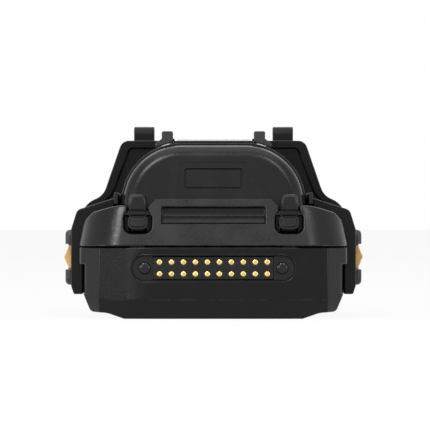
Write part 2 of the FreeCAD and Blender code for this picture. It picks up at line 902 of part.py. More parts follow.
def mic_socket():
    """A threaded microphone socket: shell, insulator with four pins, and ring nut."""
    shell = Piece("mic_socket_shell")
    at = ("socket_x", "socket_z")
    shell.pad("XZ", "socket_back", "socket_face", Disc(*at, "socket_outer"))
    shell.cut("XZ", "socket_back - past", "socket_face + past", Disc(*at, "socket_bore"))
    shell.cut("XZ", "socket_face - socket_mouth_deep", "socket_face + past", Disc(*at, "socket_mouth"))
    insert = Piece("mic_socket_insert")
    insert.pad("XZ", "socket_back + 0.5", "insert_face", Disc(*at, "socket_bore - 0.03"))
    for number in range(4):
        angle = 45 + 90 * number
        pin = Disc(f"socket_x + 2 * cos({angle})", f"socket_z + 2 * sin({angle})", "0.5")
        insert.pad("XZ", "insert_face - 0.5", "socket_face - socket_mouth_deep - 0.1", pin)
    nut = Piece("mic_socket_nut")
    nut.pad("XZ", "panel_face", "panel_face + nut_thick", Disc(*at, "nut_radius"))
    nut.cut(
        "XZ", "panel_face - past", "panel_face + nut_thick + past", Disc(*at, "socket_outer + 0.02"),
    )
    notches = 4
    for number in range(notches):
        angle = 360 / notches * number
        bite = Disc(
            f"socket_x + nut_radius * cos({angle})", f"socket_z + nut_radius * sin({angle})", "0.7",
        )
        nut.cut("XZ", "panel_face - past", "panel_face + nut_thick + past", bite)


def volume_control():
    """The fluted volume knob, its shaft and the encoder that carries it."""
    at = ("knob_x", "knob_z")
    knob = Piece("volume_knob")
    knob.pad("XZ", "knob_low", "knob_top", Disc(*at, "knob_radius"))
    knob.soften("0.5", lambda edge: lies_at(edge, "Y", value("knob_top")))
    flutes = 16
    for number in range(flutes):
        angle = 360 / flutes * number
        flute = Disc(
            f"knob_x + (knob_radius + 0.3) * cos({angle})",
            f"knob_z + (knob_radius + 0.3) * sin({angle})",
            "0.55",
        )
        knob.cut("XZ", "knob_low - past", "knob_top - 0.9", flute)
    knob.cut("XZ", "knob_low - past", "knob_top - 1.2", Disc(*at, "shaft_radius + 0.02"))
    knob.cut(
        "XZ",
        "knob_top - 0.4",
        "knob_top + past",
        frame("knob_x - 0.35", "knob_x + 0.35", "knob_z + 1.6", "knob_z + 4.6", "0.3"),
    )
    finish(rod("knob_shaft", "Y", at, "shaft_radius", "board_back + 1", "knob_top - 1.4"), "knob_shaft")
    encoder = Piece("encoder_body")
    square = frame(
        "knob_x - encoder_half",
        "knob_x + encoder_half",
        "knob_z - encoder_half",
        "knob_z + encoder_half",
        "0.5",
    )
    encoder.pad("XZ", "board_back", "board_back + encoder_deep", square)
    encoder.pad("XZ", "board_back + encoder_deep - 0.2", "panel_face", Disc(*at, "bush_radius"))
    encoder.cut("XZ", "board_back + 0.8", "panel_face + past", Disc(*at, "shaft_radius + run_gap"))


def power_control():
    """The recessed power button, the switch that it works and the status light."""
    at = ("0", "button_z")
    button = Piece("power_button")
    button.pad("XZ", "panel_back - 1.8", "panel_face + button_proud", Disc(*at, "button_radius"))
    button.pad("XZ", "panel_back - 2.8", "panel_back - 1.6", Disc(*at, "button_radius + 0.7"))
    button.pad("XZ", "board_back + 1.6", "panel_back - 2.6", Disc(*at, "stud_radius"))
    button.soften("0.5", lambda edge: lies_at(edge, "Y", value("panel_face + button_proud")))
    switch = Piece("power_switch")
    switch.pad(
        "XZ", "board_back", "board_back + 2.2", frame("-3", "3", "button_z - 3", "button_z + 3", "0.3"),
    )
    switch.cut("XZ", "board_back + 0.5", "board_back + 2.2 + past", Disc(*at, "stud_radius + 0.15"))
    pipe = rod(
        "light_pipe", "Y", ("light_x", "button_z"), "light_radius", "board_back", "panel_face + 0.3",
    )
    finish(pipe, "light_pipe")


# ---------------------------------------------------------------- boards and what they carry

def boards():
    """The main board with its shield can and chips, and the control board behind the panel."""
    main = Piece("main_board")
    clear = "(post_radius + 1)"
    main.pad("XY", "pcb_low", "pcb_top", mirrored([
        ("post_x - 4", "cap_back + 2"),
        ("post_x - 4", f"post_near + {clear}"),
        ("tray_inner - 0.6", f"post_near + {clear}"),
        ("tray_inner - 0.6", f"post_far - {clear}"),
        ("post_x - 4", f"post_far - {clear}"),
        ("post_x - 4", "panel_back - 1"),
    ]))
    can = Piece("shield_can")
    can.pad("XY", "pcb_top", "pcb_top + 2.8", frame("-18", "18", "chamber_near", "display_near", "1"))
    can.cut(
        "XY",
        "pcb_top - past",
        "pcb_top + 2.5",
        frame("-17.7", "17.7", "chamber_near + 0.3", "display_near - 0.3", "0.8"),
    )
    chips = []
    for row in range(3):
        for column in range(4):
            x = f"{column - 1.5} * 8"
            y = f"display_near + 12 + {row} * 9"
            size = 2.6 - 0.4 * ((row + column) % 3)
            span = ((f"{x} - {size}", f"{x} + {size}"), (f"{y} - {size}", f"{y} + {size}"))
            chips.append(brick(f"chip{row}{column}", *span, ("pcb_top", "pcb_top + 1.2")))
    group("board_parts", chips)
    control = Piece("control_board")
    control.pad(
        "XZ", "board_front", "board_back", frame("-18", "18", "pcb_top + 0.2", "button_z + 5.5", "1"),
    )
    control.cut(
        "XZ",
        "board_front - past",
        "board_back + past",
        Disc("socket_x", "socket_z", "socket_outer + fit_gap"),
    )
    cap = "clip_slot_floor - past - 0.2"
    plate = frame("-16", "16", "bulkhead_far + 2", "board_front - 1", "2")
    antenna = Piece("antenna_plate")
    antenna.pad("XY", f"{cap} - 0.8", cap, plate)
    antenna.pad(
        "XY", f"{cap} - 5", f"{cap} - 0.8", frame("-1.5", "1.5", "board_front - 3", "board_front - 1"),
    )


def display_and_keys():
    """The display with its lens, and the row of three menu keys over their rubber mat."""
    module = Piece("display_module")
    spans = (
        "-display_half - 2.4", "display_half + 2.4", "display_near - 2.2", "display_far + 2.4", "0.5",
    )
    module.pad("XY", "floor + fit_gap", "pcb_low", frame(*spans))
    lens = Piece("display_lens")
    edge = "lens_lip - fit_gap"
    across = (f"-display_half - ({edge})", f"display_half + ({edge})")
    along = (f"display_near - ({edge})", f"display_far + ({edge})")
    lens.pad("XY", "fit_gap", "lens_thick + fit_gap", frame(*across, *along, "1.8"))
    mat = Piece("keypad_mat")
    half = "key_pitch + key_wide / 2 + 1"
    mat.pad(
        "XY", "pcb_low - 0.8", "pcb_low", frame(f"-({half})", half, "key_row - 3", "key_row + 3", "1"),
    )
    for number, column in enumerate(KEY_COLUMNS, 1):
        key = Piece(f"menu_key_{number}")
        x = f"{column} * key_pitch"
        cap = (
            f"{x} - key_wide / 2",
            f"{x} + key_wide / 2",
            "key_row - key_deep / 2",
            "key_row + key_deep / 2",
            "0.8",
        )
        lip = (
            f"{x} - key_wide / 2 - 0.6",
            f"{x} + key_wide / 2 + 0.6",
            "key_row - 2.4",
            "key_row + 2.4",
            "1",
        )
        key.pad("XY", "0.3", "floor + 0.2", frame(*cap))
        key.pad("XY", "floor + 0.15", "floor + 0.7", frame(*lip))


# ---------------------------------------------------------------- side keys

sizes(
    bezel_long=28,
    bezel_proud=1.6,
    bezel_round=1,
    ridge_proud=2.1,
    key_edge_proud=1,
)
places(
    bezel_near="side_key_near - 6",
    bezel_far="bezel_near + bezel_long",
    bezel_low="side_key_low - 3.5",
    bezel_high="side_key_high + 3.3",
    switch_inner="bay_half + bay_wall + 0.2",
    switch_outer="tray_inner - 1.6",
    stem_tip="switch_outer - 0.3",
    bezel_face="skirt_half + bezel_proud",
    key_back="skirt_half - 1.6",
)


def side_controls(word, side):
    """One flank's key: rubber bezel, sprung key with a roof ridge, and its switch."""
    bezel = Piece(f"side_bezel_{word}")
    outline = [
        ("bezel_near", "bezel_low", "1.6"),
        ("bezel_far", "bezel_low", "1.6"),
        ("bezel_far", "bezel_high", "1.6"),
        ("bezel_near", "bezel_high", "1.6"),
        ("bezel_near", "side_key_high + 0.2"),
        ("side_key_far + part_gap", "side_key_high + 0.2", "0.8"),
        ("side_key_far + part_gap", "side_key_low - 0.2", "0.8"),
        ("bezel_near", "side_key_low - 0.2"),
    ]
    start, end = ("skirt_half", "bezel_face") if side > 0 else ("-bezel_face", "-skirt_half")
    bezel.pad("YZ", start, end, outline)
    face = side * value("bezel_face")
    bezel.soften("bezel_round", lambda edge: lies_at(edge, "X", face))
    key = Piece(f"side_key_{word}")
    roof = [
        ("key_back", "side_key_low"),
        ("skirt_half + key_edge_proud", "side_key_low", "0.5"),
        ("skirt_half + ridge_proud", "side_key_ridge", "0.4"),
        ("skirt_half + key_edge_proud", "side_key_high", "0.5"),
        ("key_back", "side_key_high"),
    ]
    key.pad("XZ", "side_key_near", "side_key_far", flipped(side, roof))
    stem = frame(
        "side_key_middle - stem_half", "side_key_middle + stem_half", "stem_low", "stem_high", "0.3",
    )
    start, end = ("switch_outer + 1.2", "key_back + 0.3")[::side]
    key.pad("YZ", f"{side} * ({start})", f"{side} * ({end})", stem)
    start, end = ("stem_tip", "switch_outer + 1.4")[::side]
    key.pad(
        "YZ", f"{side} * ({start})", f"{side} * ({end})", Disc("side_key_middle", "stem_middle", "1"),
    )
    switch = Piece(f"side_switch_{word}")
    body = frame("side_key_middle - 3", "side_key_middle + 3", "pcb_top", "stem_high + 0.4", "0.3")
    start, end = ("switch_inner", "switch_outer")[::side]
    switch.pad("YZ", f"{side} * {start}", f"{side} * {end}", body)
    start, end = ("stem_tip - side_key_travel - 0.2", "switch_outer + past")[::side]
    switch.cut(
        "YZ",
        f"{side} * ({start})",
        f"{side} * ({end})",
        Disc("side_key_middle", "stem_middle", "1.15"),
    )


# ---------------------------------------------------------------- battery

sizes(
    cover_lean=4.7,
    cover_round=9,
    cover_wall=2,
    ledge_half=12.3,
    ledge_foot=13.6,
    scoop_half=11,
    latch_pocket_half=3,
    latch_pin_radius=0.6,
    latch_pin_half=4.2,
    knob_half=1.9,
    pad_half=2.2,
    arm_half=1.4,
    hub_radius=1.25,
    hook_room=1.7,
    cap_arch_round=12.4,
    cap_lean=13,
    cap_edge=1.6,
    arch_half=19.8,
    arch_round=13,
    shell_wall=1.6,
    label_half=6.2,
    label_tall=4.5,
    saddle_deep=5.1,
    label_deep=0.5,
    tray_side=20,
    catch_rise=1.1,
)
places(
    cover_front="near_face + part_gap",
    cover_top="deck_height + 2.1",
    cover_half="cap_half",
    cover_top_half="cover_half - 1.7",
    ledge_rise="deck_height + 1.5",
    brow_half="cover_half - 1.3",
    brow_rise="deck_height - 2.9",
    brow_top_half="brow_half - 1.6",
    brow_top="deck_height - 1.4",
    eave_half="arch_half + 2.8",
    eave_rise="deck_height - 0.5",
    scoop_low="deck_height - 3.9",
    scoop_high="deck_height - 0.3",
    scoop_back="cover_front + 4.7",
    latch_x="arch_half - 3.7",
    latch_pocket_low="cover_low + 2.6",
    latch_pocket_high="deck_height - 1.1",
    latch_floor="cover_front + 5.9",
    latch_pin_y="latch_floor - 1.5",
    latch_pin_z="latch_pocket_high - 0.6",
    cap_front="cover_front + 6.1",
    cap_arch_half="arch_half - 0.6",
    cap_arch_top="arch_top - 0.6",
    hump_near="battery_near - 0.4",
    saddle_height="arch_top - saddle_deep",
    saddle_start="hump_near + 8.7",
    saddle_full="saddle_start + 9",
    label_low="shell_low + 3.4",
    label_high="label_low + label_tall",
    cover_top_front="cover_front + cover_lean",
    shell_low="deck_height + 0.1",
    cap_rear="hump_near - 0.3",
    tray_room="tray_side - 1.6",
)


def cover_face(height):
    """Where the leaning front of the battery cover is at a height."""
    return f"cover_front + cover_lean * (({height}) - cover_low) / (cover_top - cover_low)"


def battery_cover():
    """The leaning end cover of the battery, with a finger scoop and two latch pockets."""
    cover = Piece("battery_cover")
    low = mirrored([
        ("cover_half", "cover_front", "cover_round"),
        ("cover_half", "battery_near"),
    ])
    high = mirrored([
        ("cover_top_half", "cover_top_front", "cover_round"),
        ("cover_top_half", "battery_near"),
    ])
    cover.loft("XY", ("cover_low", low), ("cover_top", high))
    past_front, past_back = "cover_front - past", "battery_near + past"
    for _, side in SIDES:
        outer = "cover_half + past"
        above = "cover_top + past"
        shoulder = [
            ("ledge_half", above),
            ("ledge_half", "ledge_rise"),
            ("ledge_foot", "deck_height"),
            ("arch_half + 0.5", "deck_height", "2"),
            ("eave_half", "eave_rise", "3"),
            ("brow_top_half", "brow_top", "1.5"),
            ("brow_half", "brow_rise", "2"),
            (outer, "cover_low + 0.2"),
            (outer, above),
        ]
        cover.cut("XZ", past_front, past_back, flipped(side, shoulder))
    crown = frame("-ledge_half - past", "ledge_half + past", "ledge_rise", "cover_top + past")
    cover.cut("XZ", past_front, past_back, crown)
    behind = frame("-ledge_foot - past", "ledge_foot + past", "deck_height", "cover_top + past")
    cover.cut("XZ", "cap_front - part_gap", past_back, behind)
    scoop = [
        ("cover_front - past", "scoop_low"),
        ("scoop_back - 1.7", "scoop_low", "1.2"),
        ("scoop_back", "scoop_low + 1.9", "1.4"),
        ("scoop_back", "scoop_high", "0.6"),
        ("cover_front - past", "scoop_high"),
    ]
    cover.cut("YZ", "-scoop_half", "scoop_half", scoop)
    hollow = frame(
        "-cover_top_half + cover_wall + 1",
        "cover_top_half - cover_wall - 1",
        "cover_low + cover_wall",
        "brow_rise - 0.6",
        "1",
    )
    cover.cut("XZ", "latch_floor + 1.3", past_back, hollow)
    for _, side in SIDES:
        x = f"{side} * latch_x"
        pocket = frame(
            f"{x} - latch_pocket_half",
            f"{x} + latch_pocket_half",
            "latch_pocket_low",
            "latch_pocket_high",
            "1.6",
        )
        cover.cut("XZ", past_front, "latch_floor", pocket)
        neck = frame(
            f"{x} - knob_half - 0.25",
            f"{x} + knob_half + 0.25",
            "latch_pocket_high - past",
            "deck_height + past",
        )
        cover.cut("XZ", past_front, "latch_floor", neck)
        slot = frame(
            f"{x} - hook_room", f"{x} + hook_room", "cover_low - past", "latch_pocket_low + 2.4",
        )
        cover.cut("XZ", "latch_pin_y - past", "latch_floor + 4", slot)
        channel = frame(
            f"{x} - hook_room",
            f"{x} + hook_room",
            "cover_low - past",
            "seam_height + catch_rise + part_gap",
        )
        cover.cut("XZ", "latch_floor", past_back, channel)
        ends = (f"{x} - latch_pin_half - fit_gap", f"{x} + latch_pin_half + fit_gap")
        cover.cut("YZ", *ends, Disc("latch_pin_y", "latch_pin_z", "latch_pin_radius + 0.02"))


def battery_cap():
    """The arched end face of the battery hump, leaning back, with a bare label recess."""
    cap = Piece("battery_cap")
    arch = mirrored([
        ("cap_arch_half", "shell_low"),
        ("cap_arch_half", "cap_arch_top", "cap_arch_round"),
    ])
    cap.pad("XZ", "cap_front", "cap_rear", arch)
    reach = "(cap_arch_top + past - shell_low) * tan(cap_lean)"
    lean = [
        ("cap_front - past", "shell_low"),
        ("cap_front", "shell_low"),
        (f"cap_front + {reach}", "cap_arch_top + past"),
        ("cap_front - past", "cap_arch_top + past"),
    ]
    cap.cut("YZ", "-cap_arch_half - past", "cap_arch_half + past", lean)

    def front_rim(edge):
        """The edges where the leaning face meets the arch."""
        point = edge.valueAt((edge.FirstParameter + edge.LastParameter) / 2)
        plane = value("cap_front") + (point.z - value("shell_low")) * math.tan(
            math.radians(value("cap_lean"))
        )
        return abs(point.y - plane) < NEAR and point.z > value("shell_low") + 0.1

    cap.soften("cap_edge", front_rim)
    label = frame(
        "-label_half",
        "label_half",
        "(label_low - shell_low) / cos(cap_lean)",
        "(label_high - shell_low) / cos(cap_lean)",
        "0.6",
    )
    cap.cut(
        "XZ", "cap_front - past", "cap_front + label_deep", label, lean="cap_lean", foot="shell_low",
    )


def battery_shell():
    """The arched back of the battery, with a saddle under the belt clip."""
    shell = Piece("battery_shell")
    arch = mirrored([
        ("arch_half", "shell_low"),
        ("arch_half", "arch_top", "arch_round"),
    ])
    shell.pad("XZ", "hump_near", "battery_far", arch)
    saddle = [
        ("saddle_start", "arch_top + past"),
        ("saddle_start", "arch_top"),
        ("saddle_start + 1.5", "arch_top", "3"),
        ("saddle_full", "saddle_height", "5"),
        ("battery_far + past", "saddle_height"),
        ("battery_far + past", "arch_top + past"),
    ]
    shell.cut("YZ", "-arch_half - past", "arch_half + past", saddle)
    inner = "arch_half - shell_wall"
    room = mirrored([
        (inner, "shell_low - past"),
        (inner, "shell_low + 1.2", "2"),
        (f"{inner} - 2", "saddle_height - shell_wall", "1.5"),
    ])
    shell.cut("XZ", "hump_near + shell_wall", "battery_far - shell_wall", room)
    high_room = mirrored([
        (f"{inner} - 3", "saddle_height - 6"),
        (f"{inner} - 3", "arch_top - shell_wall", "arch_round - 4.5"),
    ])
    shell.cut("XZ", "hump_near + shell_wall", "saddle_start", high_room)


def battery_inside():
    """The battery's tray, its two pouch cells, their board and the gold pads at its far end."""
    tray = Piece("battery_tray")
    tray.pad(
        "XZ",
        "battery_near",
        "battery_far",
        frame("-tray_side", "tray_side", "cover_low", "deck_height"),
    )
    room = frame("-tray_room", "tray_room", "battery_near + 1.6", "battery_far - 1.6", "1")
    tray.cut("XY", "tongue_low", "deck_height + past", room)
    pads = []
    columns = [f"({number} - 1.5) * 5" for number in range(4)]
    window_low, window_high = "tongue_high + 0.2", "deck_height - 1.6"
    for number, x in enumerate(columns):
        opening = frame(f"{x} - 1.3", f"{x} + 1.3", f"{window_low} - 0.1", f"{window_high} + 0.1")
        tray.cut("XZ", "battery_far - 1.6 - past", "battery_far + past", opening)
        spans = ((f"{x} - 1.2", f"{x} + 1.2"), ("battery_far - 1.6 - 0.3", "battery_far - 0.1"))
        pads.append(brick(f"pad{number}", *spans, (window_low, window_high)))
    group("battery_pads", pads)
    for _, side in SIDES:
        tongue = frame("tray_side - 0.5", "bay_half + tongue_out", "tongue_low", "tongue_high", "0.3")
        tray.pad("XZ", "cap_back + 2", "battery_far - 2", flipped(side, tongue))
        x = f"{side} * latch_x"
        channel = frame(
            f"{x} - hook_room",
            f"{x} + hook_room",
            "cover_low - past",
            "seam_height + catch_rise + 0.2",
        )
        tray.cut("XZ", "battery_near - past", "battery_far + past", channel)
    cells = []
    cell_length = ("battery_near + 2.2", "battery_far - 5")
    cell_high = "5.8"
    for number in range(2):
        foot = f"tongue_low + 0.1 + {number} * ({cell_high} + 0.3)"
        cell = brick(
            f"cell_core{number}",
            ("-tray_room + 2", "tray_room - 2"),
            cell_length,
            (foot, f"{foot} + {cell_high}"),
        )
        cells.append(cell)
    group("battery_cells", cells)
    board = Piece("cell_board")
    rear = "battery_far - 1.6 - 0.3"
    board.pad(
        "XZ", f"{rear} - 1.2", rear, frame("-15", "15", "tongue_low + 0.1", "saddle_height - 4", "0.5"),
    )
    blades = []
    for number, x in enumerate(columns):
        blade = ((f"{x} - 0.8", f"{x} + 0.8"), ("battery_far + 0.2", "head_near"))
        blades.append(brick(f"blade{number}", *blade, (f"{window_low} + 0.4", "head_base - 0.2")))
    group("battery_terminals", blades)


def latch(word, side):
    """One rocker latch: its pad is pressed in, its knob tips out and its hook lifts."""
    rocker = Piece(f"latch_{word}")

    def level(half):
        """The two X levels of a feature centred on the latch."""
        return f"{side} * latch_x - {half}", f"{side} * latch_x + {half}"

    rocker.pad("YZ", *level("knob_half"), Disc("latch_pin_y", "latch_pin_z", "hub_radius"))
    knob = [
        ("latch_pin_y - 1", "latch_pin_z - 0.4"),
        ("latch_pin_y + 0.85", "latch_pin_z - 0.4"),
        ("latch_pin_y + 0.95", "latch_pin_z + 2", "0.6"),
        ("latch_pin_y + 0.7", "latch_pin_z + 4.2", "1.1"),
        ("latch_pin_y - 2.4", "latch_pin_z + 4", "1.3"),
        ("latch_pin_y - 2.7", "latch_pin_z + 1", "0.8"),
    ]
    rocker.pad("YZ", *level("knob_half"), knob)
    pad_face = cover_face("latch_pocket_low + 0.9")
    press = [
        ("latch_pin_y", "latch_pin_z - 0.1"),
        ("latch_pin_y - 2", "latch_pin_z - 0.1", "0.4"),
        (f"{pad_face} + 0.7", "latch_pocket_low + 0.8", "0.5"),
        (f"{pad_face} + 1.8", "latch_pocket_low + 0.8", "0.3"),
        ("latch_pin_y - 0.3", "latch_pocket_low + 2.6"),
    ]
    rocker.pad("YZ", *level("pad_half"), press)
    arm = [
        ("latch_pin_y - 0.75", "latch_pin_z - 0.2"),
        ("latch_pin_y - 0.75", "latch_pocket_low + 0.6", "0.5"),
        ("latch_pin_y + 1.2", "seam_height + catch_rise + 0.7", "0.5"),
        ("latch_pin_y + 3.1", "seam_height + catch_rise + 0.7"),
        ("latch_pin_y + 3.2", "cover_low + 0.2"),
        ("latch_pin_y + 4.3", "cover_low + 0.4"),
        ("latch_pin_y + 4.3", "cover_low + 2.3", "0.6"),
        ("latch_pin_y + 1.9", "cover_low + 2.9", "0.6"),
        ("latch_pin_y + 0.9", "latch_pocket_low + 1.6", "0.6"),
        ("latch_pin_y + 0.9", "latch_pin_z - 0.2"),
    ]
    rocker.pad("YZ", *level("arm_half"), arm)
    rocker.cut(
        "YZ",
        *level("(pad_half + past)"),
        Disc("latch_pin_y", "latch_pin_z", "latch_pin_radius + run_gap"),
    )
    spring = Piece(f"latch_spring_{word}")
    leaf = [
        ("latch_floor", "latch_pin_z - 1.1"),
        ("latch_floor", "latch_pin_z - 0.7"),
        (f"{pad_face} + 2.05", "latch_pocket_low + 1.5"),
        (f"{pad_face} + 2.05", "latch_pocket_low + 1.1"),
    ]
    inner = ("latch_x - pad_half", "latch_x - arm_half - 0.15")
    start, end = inner if side > 0 else (f"-({inner[1]})", f"-({inner[0]})")
    spring.pad("YZ", start, end, leaf)


def latch_pins():
    """The pins that the rockers turn on, blind in the cover on both sides of each pocket."""
    pins = []
    for word, side in SIDES:
        x = f"{side} * latch_x"
        ends = (f"{x} - latch_pin_half", f"{x} + latch_pin_half")
        pins.append(
            rod(f"latch_pin_{word}", "X", ("latch_pin_y", "latch_pin_z"), "latch_pin_radius", *ends)
        )
    group("latch_pins", pins)


def battery_catches():
    """A pair of sprung catches on the roof of the dock cap."""
    catches = []
    for word, side in SIDES:
        x = f"{side} * latch_x"
        across = (f"{x} - 1.3", f"{x} + 1.3")
        leaf = brick(
            f"catch_leaf_{word}",
            across,
            ("latch_pin_y - 2.4", "latch_pin_y + 2.8"),
            ("seam_height", "seam_height + 0.25"),
        )
        bump = brick(
            f"catch_bump_{word}",
            across,
            ("latch_pin_y + 1.8", "latch_pin_y + 2.8"),
            ("seam_height", "seam_height + catch_rise"),
        )
        catches.append(joined(f"catch_{word}", leaf, bump))
    group("battery_catches", catches)


# ---------------------------------------------------------------- belt clip

sizes(
    clip_half=8.7,
    clip_thick=0.6,
    barrel_radius=1.5,
    knuckle_inner=5,
    foot_long=7,
    foot_out=3.9,
    tab_wide=2.45,
    tab_rise=1.6,
    spring_wire=0.3,
)
places(
    clip_tip="hump_near + 2.7",
    clip_high="clip_low + clip_thick",
)


def belt_clip():
    """The sprung steel clip leaf with its two knuckles, black tip feet, pin and torsion spring."""
    leaf = Piece("clip_leaf")
    outline = mirrored([
        ("clip_half", "clip_tip", "1"),
        ("clip_half", "clip_pin_y"),
    ])
    leaf.pad("XY", "clip_low", "clip_high", outline)
    slot = frame("-knuckle_inner", "knuckle_inner", "clip_pin_y - 3", "clip_pin_y + past")
    leaf.cut("XY", "clip_low - past", "clip_high + past", slot)
    for _, side in SIDES:
        start, end = ("knuckle_inner", "clip_half")[::side]
        leaf.pad(
            "YZ",
            f"{side} * {start}",
            f"{side} * {end}",
            Disc("clip_pin_y", "clip_pin_z", "barrel_radius"),
        )
    bore = Disc("clip_pin_y", "clip_pin_z", "clip_pin_radius + run_gap")
    leaf.cut("YZ", "-clip_half - past", "clip_half + past", bore)
    for word, side in SIDES:
        foot = Piece(f"clip_foot_{word}")
        section = [
            ("clip_half", "clip_low - 0.1"),
            ("clip_half + foot_out - 0.3", "arch_top - 0.85"),
            ("clip_half + foot_out", "arch_top - 0.2", "0.4"),
            ("clip_half + tab_wide", "clip_high", "0.3"),
            ("clip_half + tab_wide", "clip_high + tab_rise", "0.4"),
            ("clip_half", "clip_high + tab_rise", "0.4"),
        ]
        foot.pad("XZ", "clip_tip", "clip_tip + foot_long", flipped(side, section))
        ribs = 4
        for number in range(ribs):
            y = f"clip_tip + foot_long / {ribs} * ({number} + 0.5)"
            notch = frame(
                f"{y} - 0.35",
                f"{y} + 0.35",
                "clip_high + tab_rise - 0.4",
                "clip_high + tab_rise + past",
            )
            start, end = ("clip_half - past", "clip_half + foot_out + past")[::side]
            foot.cut("YZ", f"{side} * ({start})", f"{side} * ({end})", notch)
    pin = rod(
        "clip_pin",
        "X",
        ("clip_pin_y", "clip_pin_z"),
        "clip_pin_radius",
        "-clip_pin_half",
        "clip_pin_half",
    )
    finish(pin, "clip_pin")


def clip_spring():
    """A torsion spring round the clip's pin, as rings of wire with two legs."""
    turns = 9
    rings = []
    for number in range(turns):
        ring = doc.addObject("Part::Torus", f"spring_ring{number}")
        ring.Placement = FreeCAD.Placement(
            FreeCAD.Vector(), FreeCAD.Rotation(FreeCAD.Vector(0, 1, 0), 90),
        )
        bind(ring, "Placement.Base.x", f"({number} - {(turns - 1) / 2}) * 2.2 * spring_wire")
        bind(ring, "Placement.Base.y", "clip_pin_y")
        bind(ring, "Placement.Base.z", "clip_pin_z")
        bind(ring, "Radius1", "clip_pin_radius + 0.15 + spring_wire")
        bind(ring, "Radius2", "spring_wire")
        rings.append(ring)
    group("clip_spring", rings)


# ---------------------------------------------------------------- build, check and write

def build():
    """Make every sub-part."""
    dock_cap()
    dock_contacts()
    front_housing()
    back_housing()
    housing_screws()
    side_seals()
    battery_rails()
    head_shell()
    end_panel()
    panel_screws()
    mic_socket()
    volume_control()
    power_control()
    boards()
    display_and_keys()
    for word, side in SIDES:
        side_controls(word, side)
    battery_cover()
    battery_cap()
    battery_shell()
    battery_inside()
    for word, side in SIDES:
        latch(word, side)
    latch_pins()
    battery_catches()
    belt_clip()
    clip_spring()
    doc.recompute()


def check():
    """Stop on a failed feature, a cut that cuts nothing or a piece that isn't a valid solid."""
    for item in doc.Objects:
        if "Invalid" in item.State or "Error" in item.State:
            raise RuntimeError(f"{item.Label} failed: {item.State}")
        if item.TypeId in ("PartDesign::Pocket", "PartDesign::Groove"):
            before = item.BaseFeature.Shape.Volume
            if before - item.Shape.Volume < 1e-4:
                raise RuntimeError(f"{item.Label} cuts nothing")
    faulty = [piece.Label for piece in NODES if piece.Shape.isNull() or not piece.Shape.isValid()]
    if faulty:
        raise RuntimeError(f"no valid shape: {', '.join(faulty)}")


def write():
    """Write each sub-part to its own file."""
    os.makedirs("parts", exist_ok=True)
    for piece in NODES:
        piece.Shape.exportStep(f"parts/{piece.Label}.step")
        box = piece.Shape.BoundBox
        solids = len(piece.Shape.Solids)
        low = f"{box.XMin:.2f} {box.YMin:.2f} {box.ZMin:.2f}"
        high = f"{box.XMax:.2f} {box.YMax:.2f} {box.ZMax:.2f}"
        print(f"{piece.Label:20s} {solids:3d} solids {piece.Shape.Volume:10.1f} mm3  {low} to {high}")
    print(len(NODES), "nodes")


build()
check()
write()
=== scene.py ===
"""Looks of a belt-worn radio pack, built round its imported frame.

Every visible moulding is made again from its frame piece with rounded edges and a moulded skin.
The pieces that need more than that are modelled here: the nose, the hump's face, the contacts and
their screws, the latches, the side bezels and the clip's spring.
"""
from __future__ import annotations

import json
import logging
import math
from dataclasses import dataclass, field
from enum import Enum

import bmesh
import bpy
from mathutils import Matrix, Vector


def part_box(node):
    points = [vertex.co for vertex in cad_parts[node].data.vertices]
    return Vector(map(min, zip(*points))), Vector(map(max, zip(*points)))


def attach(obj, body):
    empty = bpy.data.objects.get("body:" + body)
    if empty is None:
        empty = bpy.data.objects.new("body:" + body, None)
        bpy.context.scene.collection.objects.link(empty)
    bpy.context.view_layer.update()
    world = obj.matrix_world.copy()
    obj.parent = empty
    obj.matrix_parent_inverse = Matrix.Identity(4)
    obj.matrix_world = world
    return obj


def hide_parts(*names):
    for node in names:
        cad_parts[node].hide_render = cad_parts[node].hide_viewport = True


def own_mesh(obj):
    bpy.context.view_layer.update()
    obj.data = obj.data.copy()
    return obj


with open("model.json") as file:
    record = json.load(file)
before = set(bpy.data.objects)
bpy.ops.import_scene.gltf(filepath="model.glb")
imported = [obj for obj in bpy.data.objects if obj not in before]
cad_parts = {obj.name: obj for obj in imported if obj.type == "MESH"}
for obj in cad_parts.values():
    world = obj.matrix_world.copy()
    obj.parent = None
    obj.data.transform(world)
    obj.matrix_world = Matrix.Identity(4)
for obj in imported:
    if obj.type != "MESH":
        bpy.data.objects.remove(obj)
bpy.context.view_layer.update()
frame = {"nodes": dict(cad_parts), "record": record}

LOG = logging.getLogger("belt_pack")
MM = 0.001
Colour = tuple[float, float, float]


# ---------------------------------------------------------------- node helpers

class Axis(Enum):
    """The three axes of the frame."""

    X = 0
    Y = 1
    Z = 2


def add_node(tree: bpy.types.NodeTree, kind: str, **settings: object) -> bpy.types.Node:
    """Add a node and set its properties.

    Args:
        tree: the tree that gets the node.
        kind: Blender's name of the node type.
        settings: properties of the node.

    Returns:
        The new node.
    """
    node = tree.nodes.new(kind)
    for name, value in settings.items():
        setattr(node, name, value)
    return node


def feed(tree: bpy.types.NodeTree, source: object, target: bpy.types.NodeSocket) -> None:
    """Link a socket, or write a plain value, to an input.

    Args:
        tree: the tree that holds both.
        source: an output socket, a number or a colour.
        target: the input socket.
    """
    if isinstance(source, bpy.types.NodeSocket):
        tree.links.new(source, target)
    elif isinstance(source, tuple) and len(source) == 3 and target.type == "RGBA":
        target.default_value = (*source, 1.0)
    else:
        target.default_value = source


def calculate(tree: bpy.types.NodeTree, operation: str, first: object,
        second: object = 0.0) -> bpy.types.NodeSocket:
    """Work out one number from two.

    Args:
        tree: the tree that holds the node.
        operation: Blender's name of the operation.
        first: a socket or number.
        second: a socket or number.

    Returns:
        The result's socket.
    """
    node = add_node(tree, "ShaderNodeMath", operation=operation)
    feed(tree, first, node.inputs[0])
    feed(tree, second, node.inputs[1])
    return node.outputs[0]


